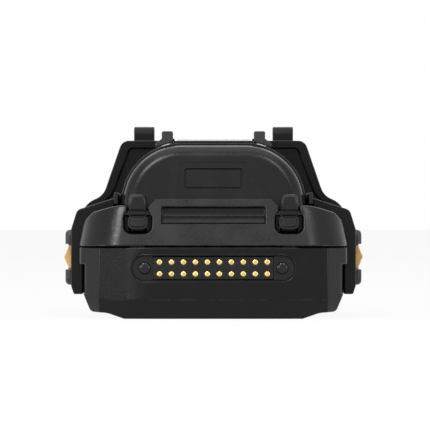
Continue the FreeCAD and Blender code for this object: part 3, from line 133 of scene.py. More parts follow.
def blend_colours(tree: bpy.types.NodeTree, share: object, first: object,
        second: object) -> bpy.types.NodeSocket:
    """Mix two colours.

    Args:
        tree: the tree that holds the node.
        share: how much of the second colour.
        first: a socket or colour.
        second: a socket or colour.

    Returns:
        The mixed colour's socket.
    """
    node = add_node(tree, "ShaderNodeMix", data_type="RGBA")
    feed(tree, share, node.inputs["Factor"])
    feed(tree, first, node.inputs[6])
    feed(tree, second, node.inputs[7])
    return node.outputs[2]


def spread(tree: bpy.types.NodeTree, value: object, low: float, high: float, new_low: object,
        new_high: object) -> bpy.types.NodeSocket:
    """Carry a value from one range to another, held at both ends.

    Args:
        tree: the tree that holds the node.
        value: the socket to carry.
        low: start of its range.
        high: end of its range.
        new_low: what the start becomes.
        new_high: what the end becomes.

    Returns:
        The result's socket.
    """
    node = add_node(tree, "ShaderNodeMapRange")
    for source, name in ((value, "Value"), (low, "From Min"), (high, "From Max"), (new_low, "To Min"),
            (new_high, "To Max")):
        feed(tree, source, node.inputs[name])
    return node.outputs["Result"]


def place(tree: bpy.types.NodeTree,
        stretch: tuple[float, float, float] = (1, 1, 1)) -> bpy.types.NodeSocket:
    """Where a point is on the pack, in metres, stretched for streaky patterns."""
    coordinates = add_node(tree, "ShaderNodeTexCoord")
    mapping = add_node(tree, "ShaderNodeMapping", vector_type="POINT")
    tree.links.new(coordinates.outputs["Object"], mapping.inputs["Vector"])
    mapping.inputs["Scale"].default_value = stretch
    return mapping.outputs["Vector"]


def noise(tree: bpy.types.NodeTree, where: bpy.types.NodeSocket, scale: object, detail: float = 2.0,
        rough: float = 0.5) -> bpy.types.NodeSocket:
    """A noise value at a place.

    Args:
        tree: the tree that holds the node.
        where: the place's socket.
        scale: waves in a metre.
        detail: octaves.
        rough: how strong the fine octaves are.

    Returns:
        The value's socket.
    """
    node = add_node(tree, "ShaderNodeTexNoise")
    tree.links.new(where, node.inputs["Vector"])
    feed(tree, scale, node.inputs["Scale"])
    node.inputs["Detail"].default_value = detail
    node.inputs["Roughness"].default_value = rough
    return node.outputs["Fac"]


# ---------------------------------------------------------------- shared effects

@dataclass(frozen=True)
class Socket:
    """One named socket of a shared effect."""

    name: str
    value: object = 0.5

    @property
    def kind(self) -> str:
        """Blender's name of the socket's type."""
        return "NodeSocketColor" if isinstance(self.value, tuple) else "NodeSocketFloat"


class Effect:
    """A shader node group, built once and placed in each material."""

    name = "effect"
    inputs: tuple[Socket, ...] = ()
    outputs: tuple[Socket, ...] = ()

    def __init__(self) -> None:
        """Make the group with its sockets and fill it."""
        self.tree = bpy.data.node_groups.new(self.name, "ShaderNodeTree")
        for direction, sockets in (("INPUT", self.inputs), ("OUTPUT", self.outputs)):
            for socket in sockets:
                made = self.tree.interface.new_socket(name=socket.name, in_out=direction,
                    socket_type=socket.kind)
                if direction == "INPUT":
                    made.default_value = (*socket.value, 1.0) if isinstance(socket.value,
                        tuple) else socket.value
        self.given = self.tree.nodes.new("NodeGroupInput").outputs
        self.result = self.tree.nodes.new("NodeGroupOutput").inputs
        self.fill()

    def fill(self) -> None:
        """Build the effect between its sockets."""
        raise NotImplementedError

    def put(self, tree: bpy.types.NodeTree, **values: object) -> bpy.types.Node:
        """Place the effect in a material.

        Args:
            tree: the material's tree.
            values: input values, by the socket's name with underscores for spaces.

        Returns:
            The group node.
        """
        node = tree.nodes.new("ShaderNodeGroup")
        node.node_tree = self.tree
        for name, value in values.items():
            feed(tree, value, node.inputs[name.replace("_", " ")])
        return node


class MouldedSkin(Effect):
    """Spark-eroded grain, handling smudges and polished edges of a moulding."""

    name = "moulded_skin"
    inputs = (
        Socket("Base", (0.03, 0.03, 0.03)),
        Socket("Worn", (0.08, 0.08, 0.08)),
        Socket("Gloss", 0.4),
        Socket("Grain Scale", 3200.0),
        Socket("Smudge", 0.08),
        Socket("Edge Polish", 0.12),
    )
    outputs = (Socket("Colour", (0, 0, 0)), Socket("Roughness"), Socket("Height"))

    def fill(self) -> None:
        """Grain from two noises, smudges from slow noise, edges from the mesh's edge mask."""
        tree, given = self.tree, self.given
        where = place(tree)
        pebble = add_node(tree, "ShaderNodeTexVoronoi", feature="SMOOTH_F1")
        tree.links.new(where, pebble.inputs["Vector"])
        tree.links.new(given["Grain Scale"], pebble.inputs["Scale"])
        fine = noise(tree, where, calculate(tree, "MULTIPLY", given["Grain Scale"], 0.6), 3.0, 0.6)
        grain = calculate(tree, "ADD", calculate(tree, "MULTIPLY", pebble.outputs["Distance"], 0.7),
            calculate(tree, "MULTIPLY", fine, 0.6))
        slow = noise(tree, where, 70.0, 4.0, 0.6)
        streak = noise(tree, place(tree, (1, 0.25, 1)), 160.0, 3.0, 0.55)
        smudge = spread(tree, calculate(tree, "MULTIPLY", slow, streak), 0.18, 0.36, -1.0, 1.0)
        edge = add_node(tree, "ShaderNodeAttribute", attribute_name="edge_mask").outputs["Fac"]
        broken = spread(tree, noise(tree, where, 420.0, 4.0, 0.65), 0.42, 0.62, 0.0, 1.0)
        worn = calculate(tree, "MULTIPLY", edge, broken)
        feed(tree, blend_colours(tree, worn, given["Base"], given["Worn"]), self.result["Colour"])
        rough = calculate(tree, "ADD", given["Gloss"],
            calculate(tree, "MULTIPLY", smudge, given["Smudge"]))
        polish = calculate(tree, "MULTIPLY", edge, given["Edge Polish"])
        speck = calculate(tree, "MULTIPLY", calculate(tree, "SUBTRACT", fine, 0.5), 0.16)
        feed(tree, calculate(tree, "ADD", calculate(tree, "SUBTRACT", rough, polish), speck),
            self.result["Roughness"])
        feed(tree, calculate(tree, "MULTIPLY", grain,
            calculate(tree, "SUBTRACT", 1.0, calculate(tree, "MULTIPLY", edge, 0.7))),
            self.result["Height"])


class BrushedSkin(Effect):
    """Fine straight scratches and a few fingerprints on metal."""

    name = "brushed_skin"
    inputs = (
        Socket("Base", (0.6, 0.6, 0.6)),
        Socket("Tarnish", (0.4, 0.36, 0.3)),
        Socket("Gloss", 0.3),
        Socket("Scratch", 0.12),
        Socket("Stain", 0.25),
    )
    outputs = (Socket("Colour", (0, 0, 0)), Socket("Roughness"), Socket("Height"))

    def fill(self) -> None:
        """Scratches run along Y; stains are slow noise."""
        tree, given = self.tree, self.given
        lines = noise(tree, place(tree, (1, 0.012, 1)), 9000.0, 3.0, 0.7)
        stain = spread(tree, noise(tree, place(tree), 150.0, 5.0, 0.6), 0.45, 0.7, 0.0, 1.0)
        stained = calculate(tree, "MULTIPLY", stain, given["Stain"])
        feed(tree, blend_colours(tree, stained, given["Base"], given["Tarnish"]), self.result["Colour"])
        swing = calculate(tree, "MULTIPLY", calculate(tree, "SUBTRACT", lines, 0.5), given["Scratch"])
        rough = calculate(tree, "ADD", given["Gloss"], swing)
        feed(tree, calculate(tree, "ADD", rough, calculate(tree, "MULTIPLY", stained, 0.2)),
            self.result["Roughness"])
        feed(tree, lines, self.result["Height"])


class Effects:
    """The shared effects, each built when first asked for."""

    _made: dict[type, Effect] = {}

    @classmethod
    def get(cls, kind: type) -> Effect:
        """The one group of a kind."""
        if kind not in cls._made:
            cls._made[kind] = kind()
        return cls._made[kind]


# ---------------------------------------------------------------- finishes

def start_material(name: str) -> tuple[bpy.types.Material, bpy.types.NodeTree, bpy.types.Node]:
    """A new material with its plain shader.

    Args:
        name: the material's name.

    Returns:
        The material, its tree and its Principled shader.
    """
    material = bpy.data.materials.new(name)
    material.use_nodes = True
    tree = material.node_tree
    return material, tree, tree.nodes["Principled BSDF"]


def bump(tree: bpy.types.NodeTree, height: bpy.types.NodeSocket, depth: float, shader: bpy.types.Node,
        strength: float = 1.0) -> None:
    """Drive a shader's normal from a height.

    Args:
        tree: the material's tree.
        height: the height's socket.
        depth: how deep a height of one is, in metres.
        shader: the shader.
        strength: how much of the bump to keep.
    """
    node = add_node(tree, "ShaderNodeBump")
    node.inputs["Strength"].default_value = strength
    node.inputs["Distance"].default_value = depth
    tree.links.new(height, node.inputs["Height"])
    tree.links.new(node.outputs["Normal"], shader.inputs["Normal"])


@dataclass(frozen=True)
class Moulding:
    """A moulded plastic or rubber finish."""

    name: str
    colour: Colour
    worn: Colour = (0.05, 0.05, 0.052)
    roughness: float = 0.42
    grain: float = 3200.0
    depth: float = 0.00002
    smudge: float = 0.05
    polish: float = 0.1
    specular: float = 0.5
    coat: float = 0.0
    sheen: float = 0.0

    def build(self) -> bpy.types.Material:
        """Make the material."""
        material, tree, shader = start_material(self.name)
        skin = Effects.get(MouldedSkin).put(
            tree, Base=self.colour, Worn=self.worn, Gloss=self.roughness, Grain_Scale=self.grain,
            Smudge=self.smudge, Edge_Polish=self.polish,
        )
        tree.links.new(skin.outputs["Colour"], shader.inputs["Base Color"])
        tree.links.new(skin.outputs["Roughness"], shader.inputs["Roughness"])
        shader.inputs["Specular IOR Level"].default_value = self.specular
        shader.inputs["Coat Weight"].default_value = self.coat
        shader.inputs["Coat Roughness"].default_value = 0.12
        shader.inputs["Sheen Weight"].default_value = self.sheen
        bump(tree, skin.outputs["Height"], self.depth, shader)
        return material


@dataclass(frozen=True)
class Metal:
    """A bare or plated metal finish."""

    name: str
    colour: Colour
    tarnish: Colour = (0.3, 0.28, 0.25)
    roughness: float = 0.28
    scratch: float = 0.14
    stain: float = 0.2
    depth: float = 0.000004
    anisotropic: float = 0.0

    def build(self) -> bpy.types.Material:
        """Make the material."""
        material, tree, shader = start_material(self.name)
        skin = Effects.get(BrushedSkin).put(
            tree, Base=self.colour, Tarnish=self.tarnish, Gloss=self.roughness, Scratch=self.scratch,
            Stain=self.stain,
        )
        tree.links.new(skin.outputs["Colour"], shader.inputs["Base Color"])
        tree.links.new(skin.outputs["Roughness"], shader.inputs["Roughness"])
        shader.inputs["Metallic"].default_value = 1.0
        shader.inputs["Anisotropic"].default_value = self.anisotropic
        bump(tree, skin.outputs["Height"], self.depth, shader)
        return material


@dataclass(frozen=True)
class CircuitBoard:
    """Solder mask over copper, with a faint net of tracks."""

    name: str
    colour: Colour = (0.02, 0.13, 0.05)
    copper: Colour = (0.06, 0.24, 0.1)

    def build(self) -> bpy.types.Material:
        """Make the material."""
        material, tree, shader = start_material(self.name)
        tracks = add_node(tree, "ShaderNodeTexBrick")
        tree.links.new(place(tree), tracks.inputs["Vector"])
        for name, value in (("Scale", 300.0), ("Mortar Size", 0.12), ("Mortar Smooth", 0.1),
                ("Brick Width", 0.9), ("Row Height", 0.4)):
            tracks.inputs[name].default_value = value
        slow = noise(tree, place(tree), 90.0, 3.0)
        mask = calculate(tree, "MULTIPLY", tracks.outputs["Fac"],
            spread(tree, slow, 0.45, 0.55, 0.2, 1.0))
        tree.links.new(blend_colours(tree, mask, self.colour, self.copper), shader.inputs["Base Color"])
        tree.links.new(spread(tree, slow, 0.3, 0.7, 0.3, 0.42), shader.inputs["Roughness"])
        bump(tree, mask, 0.00003, shader)
        return material


@dataclass(frozen=True)
class Foil:
    """The creased laminate of a pouch cell."""

    name: str
    colour: Colour = (0.6, 0.61, 0.62)

    def build(self) -> bpy.types.Material:
        """Make the material."""
        material, tree, shader = start_material(self.name)
        crease = add_node(tree, "ShaderNodeTexVoronoi", feature="DISTANCE_TO_EDGE")
        tree.links.new(place(tree, (1, 0.6, 1)), crease.inputs["Vector"])
        crease.inputs["Scale"].default_value = 160.0
        soft = noise(tree, place(tree), 260.0, 4.0)
        shader.inputs["Metallic"].default_value = 1.0
        tree.links.new(blend_colours(tree, soft, self.colour, (0.45, 0.46, 0.48)),
            shader.inputs["Base Color"])
        tree.links.new(spread(tree, soft, 0.3, 0.7, 0.28, 0.45), shader.inputs["Roughness"])
        bump(tree, calculate(tree, "ADD", crease.outputs["Distance"], soft), 0.0002, shader)
        return material


@dataclass(frozen=True)
class Window:
    """A clear hard-coated display window over its dark surround."""

    name: str
    colour: Colour = (0.012, 0.013, 0.014)

    def build(self) -> bpy.types.Material:
        """Make the material."""
        material, tree, shader = start_material(self.name)
        haze = noise(tree, place(tree), 110.0, 5.0, 0.6)
        tree.links.new(blend_colours(tree, spread(tree, haze, 0.4, 0.7, 0.0, 0.4), self.colour,
            (0.02, 0.022, 0.024)), shader.inputs["Base Color"])
        tree.links.new(spread(tree, haze, 0.35, 0.7, 0.05, 0.16), shader.inputs["Roughness"])
        shader.inputs["Coat Weight"].default_value = 0.6
        shader.inputs["Coat Roughness"].default_value = 0.04
        return material


class Finish(Enum):
    """Every finish on the pack, by the record's material slot."""

    SHELL = ("shell_black", Moulding("shell_black", (0.004, 0.0038, 0.0039), worn=(0.02, 0.019, 0.018),
        roughness=0.3, specular=0.19, depth=0.000012))
    BATTERY = ("battery_black",
        Moulding("battery_black", (0.0065, 0.0062, 0.0066), worn=(0.022, 0.021, 0.021), roughness=0.3,
        specular=0.23, depth=0.000012))
    LATCH = ("latch_black", Moulding("latch_black", (0.0065, 0.0062, 0.0066), worn=(0.022, 0.021, 0.021),
        roughness=0.32, specular=0.28, depth=0.00001))
    RUBBER = ("rubber_black", Moulding("rubber_black", (0.006, 0.006, 0.0062), roughness=0.5,
        grain=5200.0, depth=0.000012, smudge=0.08, sheen=0.15))
    SEAL = ("seal_rubber", Moulding("seal_rubber", (0.02, 0.02, 0.022), roughness=0.7, grain=4000.0))
    KEY = ("key_orange", Moulding("key_orange", (0.85, 0.5, 0.18), worn=(0.95, 0.78, 0.55),
        roughness=0.32, grain=5200.0, depth=0.000008))
    MENU = ("key_grey", Moulding("key_grey", (0.11, 0.11, 0.115), worn=(0.2, 0.2, 0.21), roughness=0.5,
        grain=5000.0, depth=0.00001))
    BUTTON = ("button_grey", Moulding("button_grey", (0.16, 0.16, 0.165), worn=(0.28, 0.28, 0.28),
        roughness=0.42, grain=5000.0, depth=0.00001))
    BLOCK = ("block_black", Moulding("block_black", (0.004, 0.0032, 0.003), roughness=0.4, specular=0.3,
        grain=6000.0, depth=0.00001))
    GOLD = ("contact_gold", Metal("contact_gold", (0.86, 0.62, 0.26), tarnish=(0.55, 0.34, 0.13),
        roughness=0.24, scratch=0.05, stain=0.35))
    SCREW = ("screw_black", Metal("screw_black", (0.035, 0.035, 0.038), tarnish=(0.02, 0.019, 0.019),
        roughness=0.17, scratch=0.08))
    CLIP = ("clip_steel", Metal("clip_steel", (0.72, 0.7, 0.67), tarnish=(0.5, 0.47, 0.42),
        roughness=0.24, anisotropic=0.5))
    PIN = ("pin_steel", Metal("pin_steel", (0.6, 0.6, 0.6), roughness=0.22))
    SPRING = ("spring_steel", Metal("spring_steel", (0.5, 0.5, 0.49), roughness=0.26))
    FOOT = ("foot_black", Moulding("foot_black", (0.012, 0.012, 0.012), roughness=0.26, grain=3000.0,
        depth=0.000006, coat=0.2))
    RAIL = ("rail_grey", Metal("rail_grey", (0.035, 0.034, 0.032), tarnish=(0.02, 0.019, 0.017),
        roughness=0.3))
    SOCKET = ("socket_nickel", Metal("socket_nickel", (0.6, 0.58, 0.54), roughness=0.25, scratch=0.06))
    LENS = ("lens_dark", Window("lens_dark"))
    DISPLAY = ("display_grey", Moulding("display_grey", (0.2, 0.24, 0.19), roughness=0.3, grain=2000.0,
        depth=0.000004))
    LIGHT = ("light_clear", Moulding("light_clear", (0.45, 0.62, 0.48), roughness=0.22, grain=2600.0,
        depth=0.000006))
    BOARD = ("board_green", CircuitBoard("board_green"))
    CHIP = ("chip_black", Moulding("chip_black", (0.015, 0.015, 0.016), roughness=0.55, grain=5000.0))
    CAN = ("can_tin", Metal("can_tin", (0.6, 0.6, 0.57), roughness=0.34))
    CELL = ("cell_foil", Foil("cell_foil"))

    def __init__(self, slot: str, look: object) -> None:
        """Keep the record's slot name and the look that makes the material."""
        self.slot = slot
        self.look = look

    @property
    def material(self) -> bpy.types.Material:
        """The finish's one material."""
        found = bpy.data.materials.get(f"{self.slot}_look")
        if found is None:
            found = self.look.build()
            found.name = f"{self.slot}_look"
        return found


# ---------------------------------------------------------------- mesh helpers

Corner = tuple[float, float, float]
Flat = list[Vector]


def rounded(corners: list[Corner], steps: int = 6) -> Flat:
    """Turn corners with radii into an outline of points.

    Args:
        corners: across, up and radius of each corner, anticlockwise, in millimetres.
        steps: chords in each rounded corner.

    Returns:
        The outline's points.
    """
    points: Flat = []
    for index, (across, up, radius) in enumerate(corners):
        here = Vector((across, up))
        if radius <= 0:
            points.append(here)
            continue
        inward = (here - Vector(corners[index - 1][:2])).normalized()
        outward = (Vector(corners[(index + 1) % len(corners)][:2]) - here).normalized()
        side = 1 if inward.cross(outward) > 0 else -1
        turn = inward.angle(outward)
        start = here - inward * radius * math.tan(turn / 2)
        centre = start + Vector((-inward.y, inward.x)) * radius * side
        first = start - centre
        for step in range(steps + 1):
            points.append(centre + Matrix.Rotation(side * turn * step / steps, 2) @ first)
    return points


def oblong(left: float, right: float, low: float, high: float, radius: float = 0.0,
        steps: int = 6) -> Flat:
    """A rectangle's outline, with rounded corners."""
    return rounded([(left, low, radius), (right, low, radius), (right, high, radius),
        (left, high, radius)], steps)


def inset(outline: Flat, distance: float) -> Flat:
    """Move every point of an anticlockwise outline inward."""
    moved: Flat = []
    for index, here in enumerate(outline):
        before = (here - outline[index - 1]).normalized()
        after = (outline[(index + 1) % len(outline)] - here).normalized()
        first, second = Vector((-before.y, before.x)), Vector((-after.y, after.x))
        moved.append(here + (first + second) * distance / max(0.3, 1 + first.dot(second)))
    return moved


def turned_to(axis: Axis, across: float, up: float, along: float) -> Vector:
    """A point of an outline that runs along an axis, in metres."""
    if axis is Axis.X:
        return Vector((along, across, up)) * MM
    if axis is Axis.Y:
        return Vector((across, along, up)) * MM
    return Vector((across, up, along)) * MM


class Shape:
    """A mesh under construction, in millimetres."""

    def __init__(self) -> None:
        """Start with nothing."""
        self.mesh = bmesh.new()

    def ring(self, points: list[Vector]) -> list[bmesh.types.BMVert]:
        """Add a loop of vertices."""
        return [self.mesh.verts.new(point) for point in points]

    def bridge(self, rings: list[list[bmesh.types.BMVert]], capped: bool = True,
            closed: bool = True) -> None:
        """Skin a run of loops.

        Args:
            rings: loops with as many vertices each.
            capped: whether the first and last loops are filled.
            closed: whether each loop runs back to its start.
        """
        for low, high in zip(rings, rings[1:]):
            count = len(low)
            for index in range(count if closed else count - 1):
                following = (index + 1) % count
                self.mesh.faces.new((low[index], low[following], high[following], high[index]))
        if capped:
            self.mesh.faces.new(list(reversed(rings[0])))
            self.mesh.faces.new(rings[-1])

    def slab(self, outline: Flat, axis: Axis, near: float, far: float,
            rounds: tuple[float, float] = (0, 0), lean: float = 0.0, steps: int = 4) -> "Shape":
        """Add an outline carried along an axis, with rounded rims.

        Args:
            outline: the outline's points, anticlockwise.
            axis: the way it runs.
            near: where it starts.
            far: where it ends.
            rounds: radius of the near and far rims.
            lean: how far the near face goes back for each millimetre up from the outline's foot.
            steps: chords in each rim.

        Returns:
            This shape.
        """
        foot = min(point.y for point in outline)
        rings = []
        for which, (level, sign) in enumerate(((near, 1), (far, -1))):
            radius = rounds[which]
            angles = [step / steps * math.pi / 2 for step in range(steps + 1)] if radius else [math.pi / 2]
            if which:
                angles.reverse()
            for angle in angles:
                shrunk = inset(outline, radius * (1 - math.sin(angle)))
                depth = level + sign * radius * (1 - math.cos(angle))
                tilt = 0.0 if which else lean
                rings.append(self.ring([turned_to(axis, p.x, p.y,
                    depth + tilt * (p.y - foot)) for p in shrunk]))
        self.bridge(rings)
        return self

    def lathe(self, profile: list[tuple[float, float]], axis: Axis, centre: tuple[float, float],
            segments: int = 32) -> "Shape":
        """Add a turned shape.

        Args:
            profile: radius and place along the axis of each ring.
            axis: the axis it is turned about.
            centre: the axis's two other coordinates.
            segments: facets round it.

        Returns:
            This shape.
        """
        rings = []
        for radius, along in profile:
            points = []
            for index in range(segments):
                angle = 2 * math.pi * index / segments
                points.append(turned_to(axis, centre[0] + radius * math.cos(angle),
                    centre[1] + radius * math.sin(angle), along))
            rings.append(self.ring(points))
        self.bridge(rings)
        return self

    def tube(self, path: list[Vector], radius: float, sides: int = 10) -> "Shape":
        """Add a round bar along a path.

        Args:
            path: the bar's centre line.
            radius: its radius.
            sides: facets round it.

        Returns:
            This shape.
        """
        rings = []
        across = Vector((0, 0, 1))
        for index, point in enumerate(path):
            ahead = (path[min(index + 1, len(path) - 1)] - path[max(index - 1, 0)]).normalized()
            across = (across - ahead * across.dot(ahead)).normalized()
            up = ahead.cross(across)
            angles = [2 * math.pi * side / sides for side in range(sides)]
            spokes = [(across * math.cos(angle) + up * math.sin(angle)) * radius for angle in angles]
            rings.append(self.ring([(point + spoke) * MM for spoke in spokes]))
        self.bridge(rings)
        return self

    def piece(self, name: str) -> bpy.types.Object:
        """Finish the shape as an object."""
        return new_piece(name, self.mesh)


def carve(piece: bpy.types.Object, *tools: Shape) -> bpy.types.Object:
    """Cut shapes out of a piece.

    Args:
        piece: the piece to cut.
        tools: the shapes to take away.

    Returns:
        The piece.
    """
    for tool in tools:
        cutter = tool.piece(f"{piece.name}_cutter")
        cut = piece.modifiers.new("cut", "BOOLEAN")
        cut.object = cutter
        cut.operation = "DIFFERENCE"
        cut.solver = "EXACT"
        bpy.context.view_layer.update()
        carved = bpy.data.meshes.new_from_object(piece.evaluated_get(bpy.context.evaluated_depsgraph_get()))
        piece.modifiers.remove(cut)
        piece.data = carved
        bpy.data.objects.remove(cutter)
    mark_sharp(piece.data)
    return piece


def mark_sharp(data: bpy.types.Mesh, angle: float = 35.0) -> None:
    """Shade a mesh smooth except across its sharp edges."""
    mesh = bmesh.new()
    mesh.from_mesh(data)
    for face in mesh.faces:
        face.smooth = True
    for edge in mesh.edges:
        edge.smooth = len(edge.link_faces) == 2 and edge.calc_face_angle(0.0) < math.radians(angle)
    mesh.to_mesh(data)
    mesh.free()


def cad_edge(node: str, axis: int, high: bool) -> float:
    """One edge of a frame node's box, in millimetres."""
    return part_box(node)[1 if high else 0][axis] / MM


def body_of(node: str) -> str:
    """The body that a frame node belongs to."""
    for body, members in frame["record"]["behaviour"]["bodies"].items():
        if node in members:
            return body
    raise KeyError(node)


def show(piece: bpy.types.Object, finish: Finish, body: str, *nodes: str) -> bpy.types.Object:
    """Give a piece its finish and its body.

    Args:
        piece: the finished piece.
        finish: its finish.
        body: the body that it moves with.
        nodes: the frame nodes that it stands for.

    Returns:
        The piece.
    """
    piece.data.materials.clear()
    piece.data.materials.append(finish.material)
    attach(piece, body)
    for node in nodes:
        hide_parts(node)
    LOG.info("%s: %d faces, on %s", piece.name, len(piece.data.polygons), body)
    return piece


def new_piece(name: str, mesh: bmesh.types.BMesh) -> bpy.types.Object:
    """Turn a working mesh into a piece with even shading.

    Args:
        name: the piece's name.
        mesh: the working mesh, which is used up.

    Returns:
        The new object.
    """
    bmesh.ops.recalc_face_normals(mesh, faces=mesh.faces)
    if mesh.calc_volume(signed=True) < 0:
        bmesh.ops.reverse_faces(mesh, faces=mesh.faces)
    data = bpy.data.meshes.new(name)
    mesh.to_mesh(data)
    mesh.free()
    mark_sharp(data)
    piece = bpy.data.objects.new(name, data)
    bpy.context.scene.collection.objects.link(piece)
    weighted = piece.modifiers.new("even_shading", "WEIGHTED_NORMAL")
    weighted.keep_sharp = True
    weighted.weight = 100
    return piece


def round_edges(mesh: bmesh.types.BMesh, width: float, angle: float = 28.0, segments: int = 3) -> None:
    """Round every sharp edge of a mesh and mark the rounded strips in its edge mask.

    Args:
        mesh: the mesh to change.
        width: how far back each edge is cut, in metres.
        angle: the least turn, in degrees, that counts as sharp.
        segments: strips in each rounding.
    """
    mask = mesh.verts.layers.float.get("edge_mask") or mesh.verts.layers.float.new("edge_mask")
    limit = math.radians(angle)
    sharp = [e for e in mesh.edges if len(e.link_faces) == 2 and e.calc_face_angle(0.0) > limit]
    if not sharp:
        return
    done = bmesh.ops.bevel(
        mesh, geom=sharp, offset=width, offset_type="OFFSET", segments=segments, profile=0.5,
        affect="EDGES", clamp_overlap=False, material=-1,
    )
    strips = set(done["faces"])
    for vert in done["verts"]:
        if all(face in strips for face in vert.link_faces):
            vert[mask] = 1.0


def mesh_of(node: str) -> bmesh.types.BMesh:
    """A frame node's shape as a welded working mesh with its flat faces whole.

    Args:
        node: the frame node.

    Returns:
        The working mesh.
    """
    mesh = bmesh.new()
    mesh.from_mesh(frame["nodes"][node].data)
    bmesh.ops.remove_doubles(mesh, verts=mesh.verts, dist=0.002 * MM)
    bmesh.ops.dissolve_limit(mesh, angle_limit=math.radians(0.6), verts=mesh.verts, edges=mesh.edges)
    return mesh


def soften(piece: bpy.types.Object, width: float, segments: int = 3) -> bpy.types.Object:
    """Round the sharp edges of a finished piece, in millimetres."""
    mesh = bmesh.new()
    mesh.from_mesh(piece.data)
    bmesh.ops.remove_doubles(mesh, verts=mesh.verts, dist=0.004 * MM)
    bmesh.ops.dissolve_limit(mesh, angle_limit=math.radians(0.6), verts=mesh.verts, edges=mesh.edges)
    round_edges(mesh, width * MM, segments=segments)
    mesh.to_mesh(piece.data)
    mesh.free()
    mark_sharp(piece.data)
    return piece


class SubAssembly:
    """A part of the pack that builds and dresses its own pieces."""

    def dress(self, finish: Finish, *nodes: str) -> None:
        """Give frame nodes that keep their shape a finish."""
        for node in nodes:
            data = frame["nodes"][node].data
            data.materials.clear()
            data.materials.append(finish.material)
            LOG.info("%s: dressed in %s", node, finish.slot)

    def mould(self, node: str, finish: Finish, width: float, segments: int = 3) -> bpy.types.Object:
        """Make a frame node again with rounded edges.

        Args:
            node: the frame node.
            finish: its finish.
            width: the rounding of its edges, in millimetres.
            segments: strips in each rounding.

        Returns:
            The new piece.
        """
        mesh = mesh_of(node)
        round_edges(mesh, width * MM, segments=segments)
        return show(new_piece(f"{node}_skin", mesh), finish, body_of(node), node)

    def build(self) -> None:
        """Make every piece of the sub-assembly."""
        raise NotImplementedError


@dataclass
class Shells(SubAssembly):
    """The pack's fixed mouldings and what holds them."""

    edge: float = 0.22
    screw_edge: float = 0.07

    def build(self) -> None:
        """The two housings, the head, the panel and their screws."""
        for node in ("front_housing", "back_housing", "head_shell", "end_panel"):
            self.mould(node, Finish.SHELL, self.edge)
        for node in ("housing_screws", "panel_screws"):
            self.mould(node, Finish.SCREW, self.screw_edge, segments=2)
        self.dress(Finish.SEAL, "side_seals", "keypad_mat")


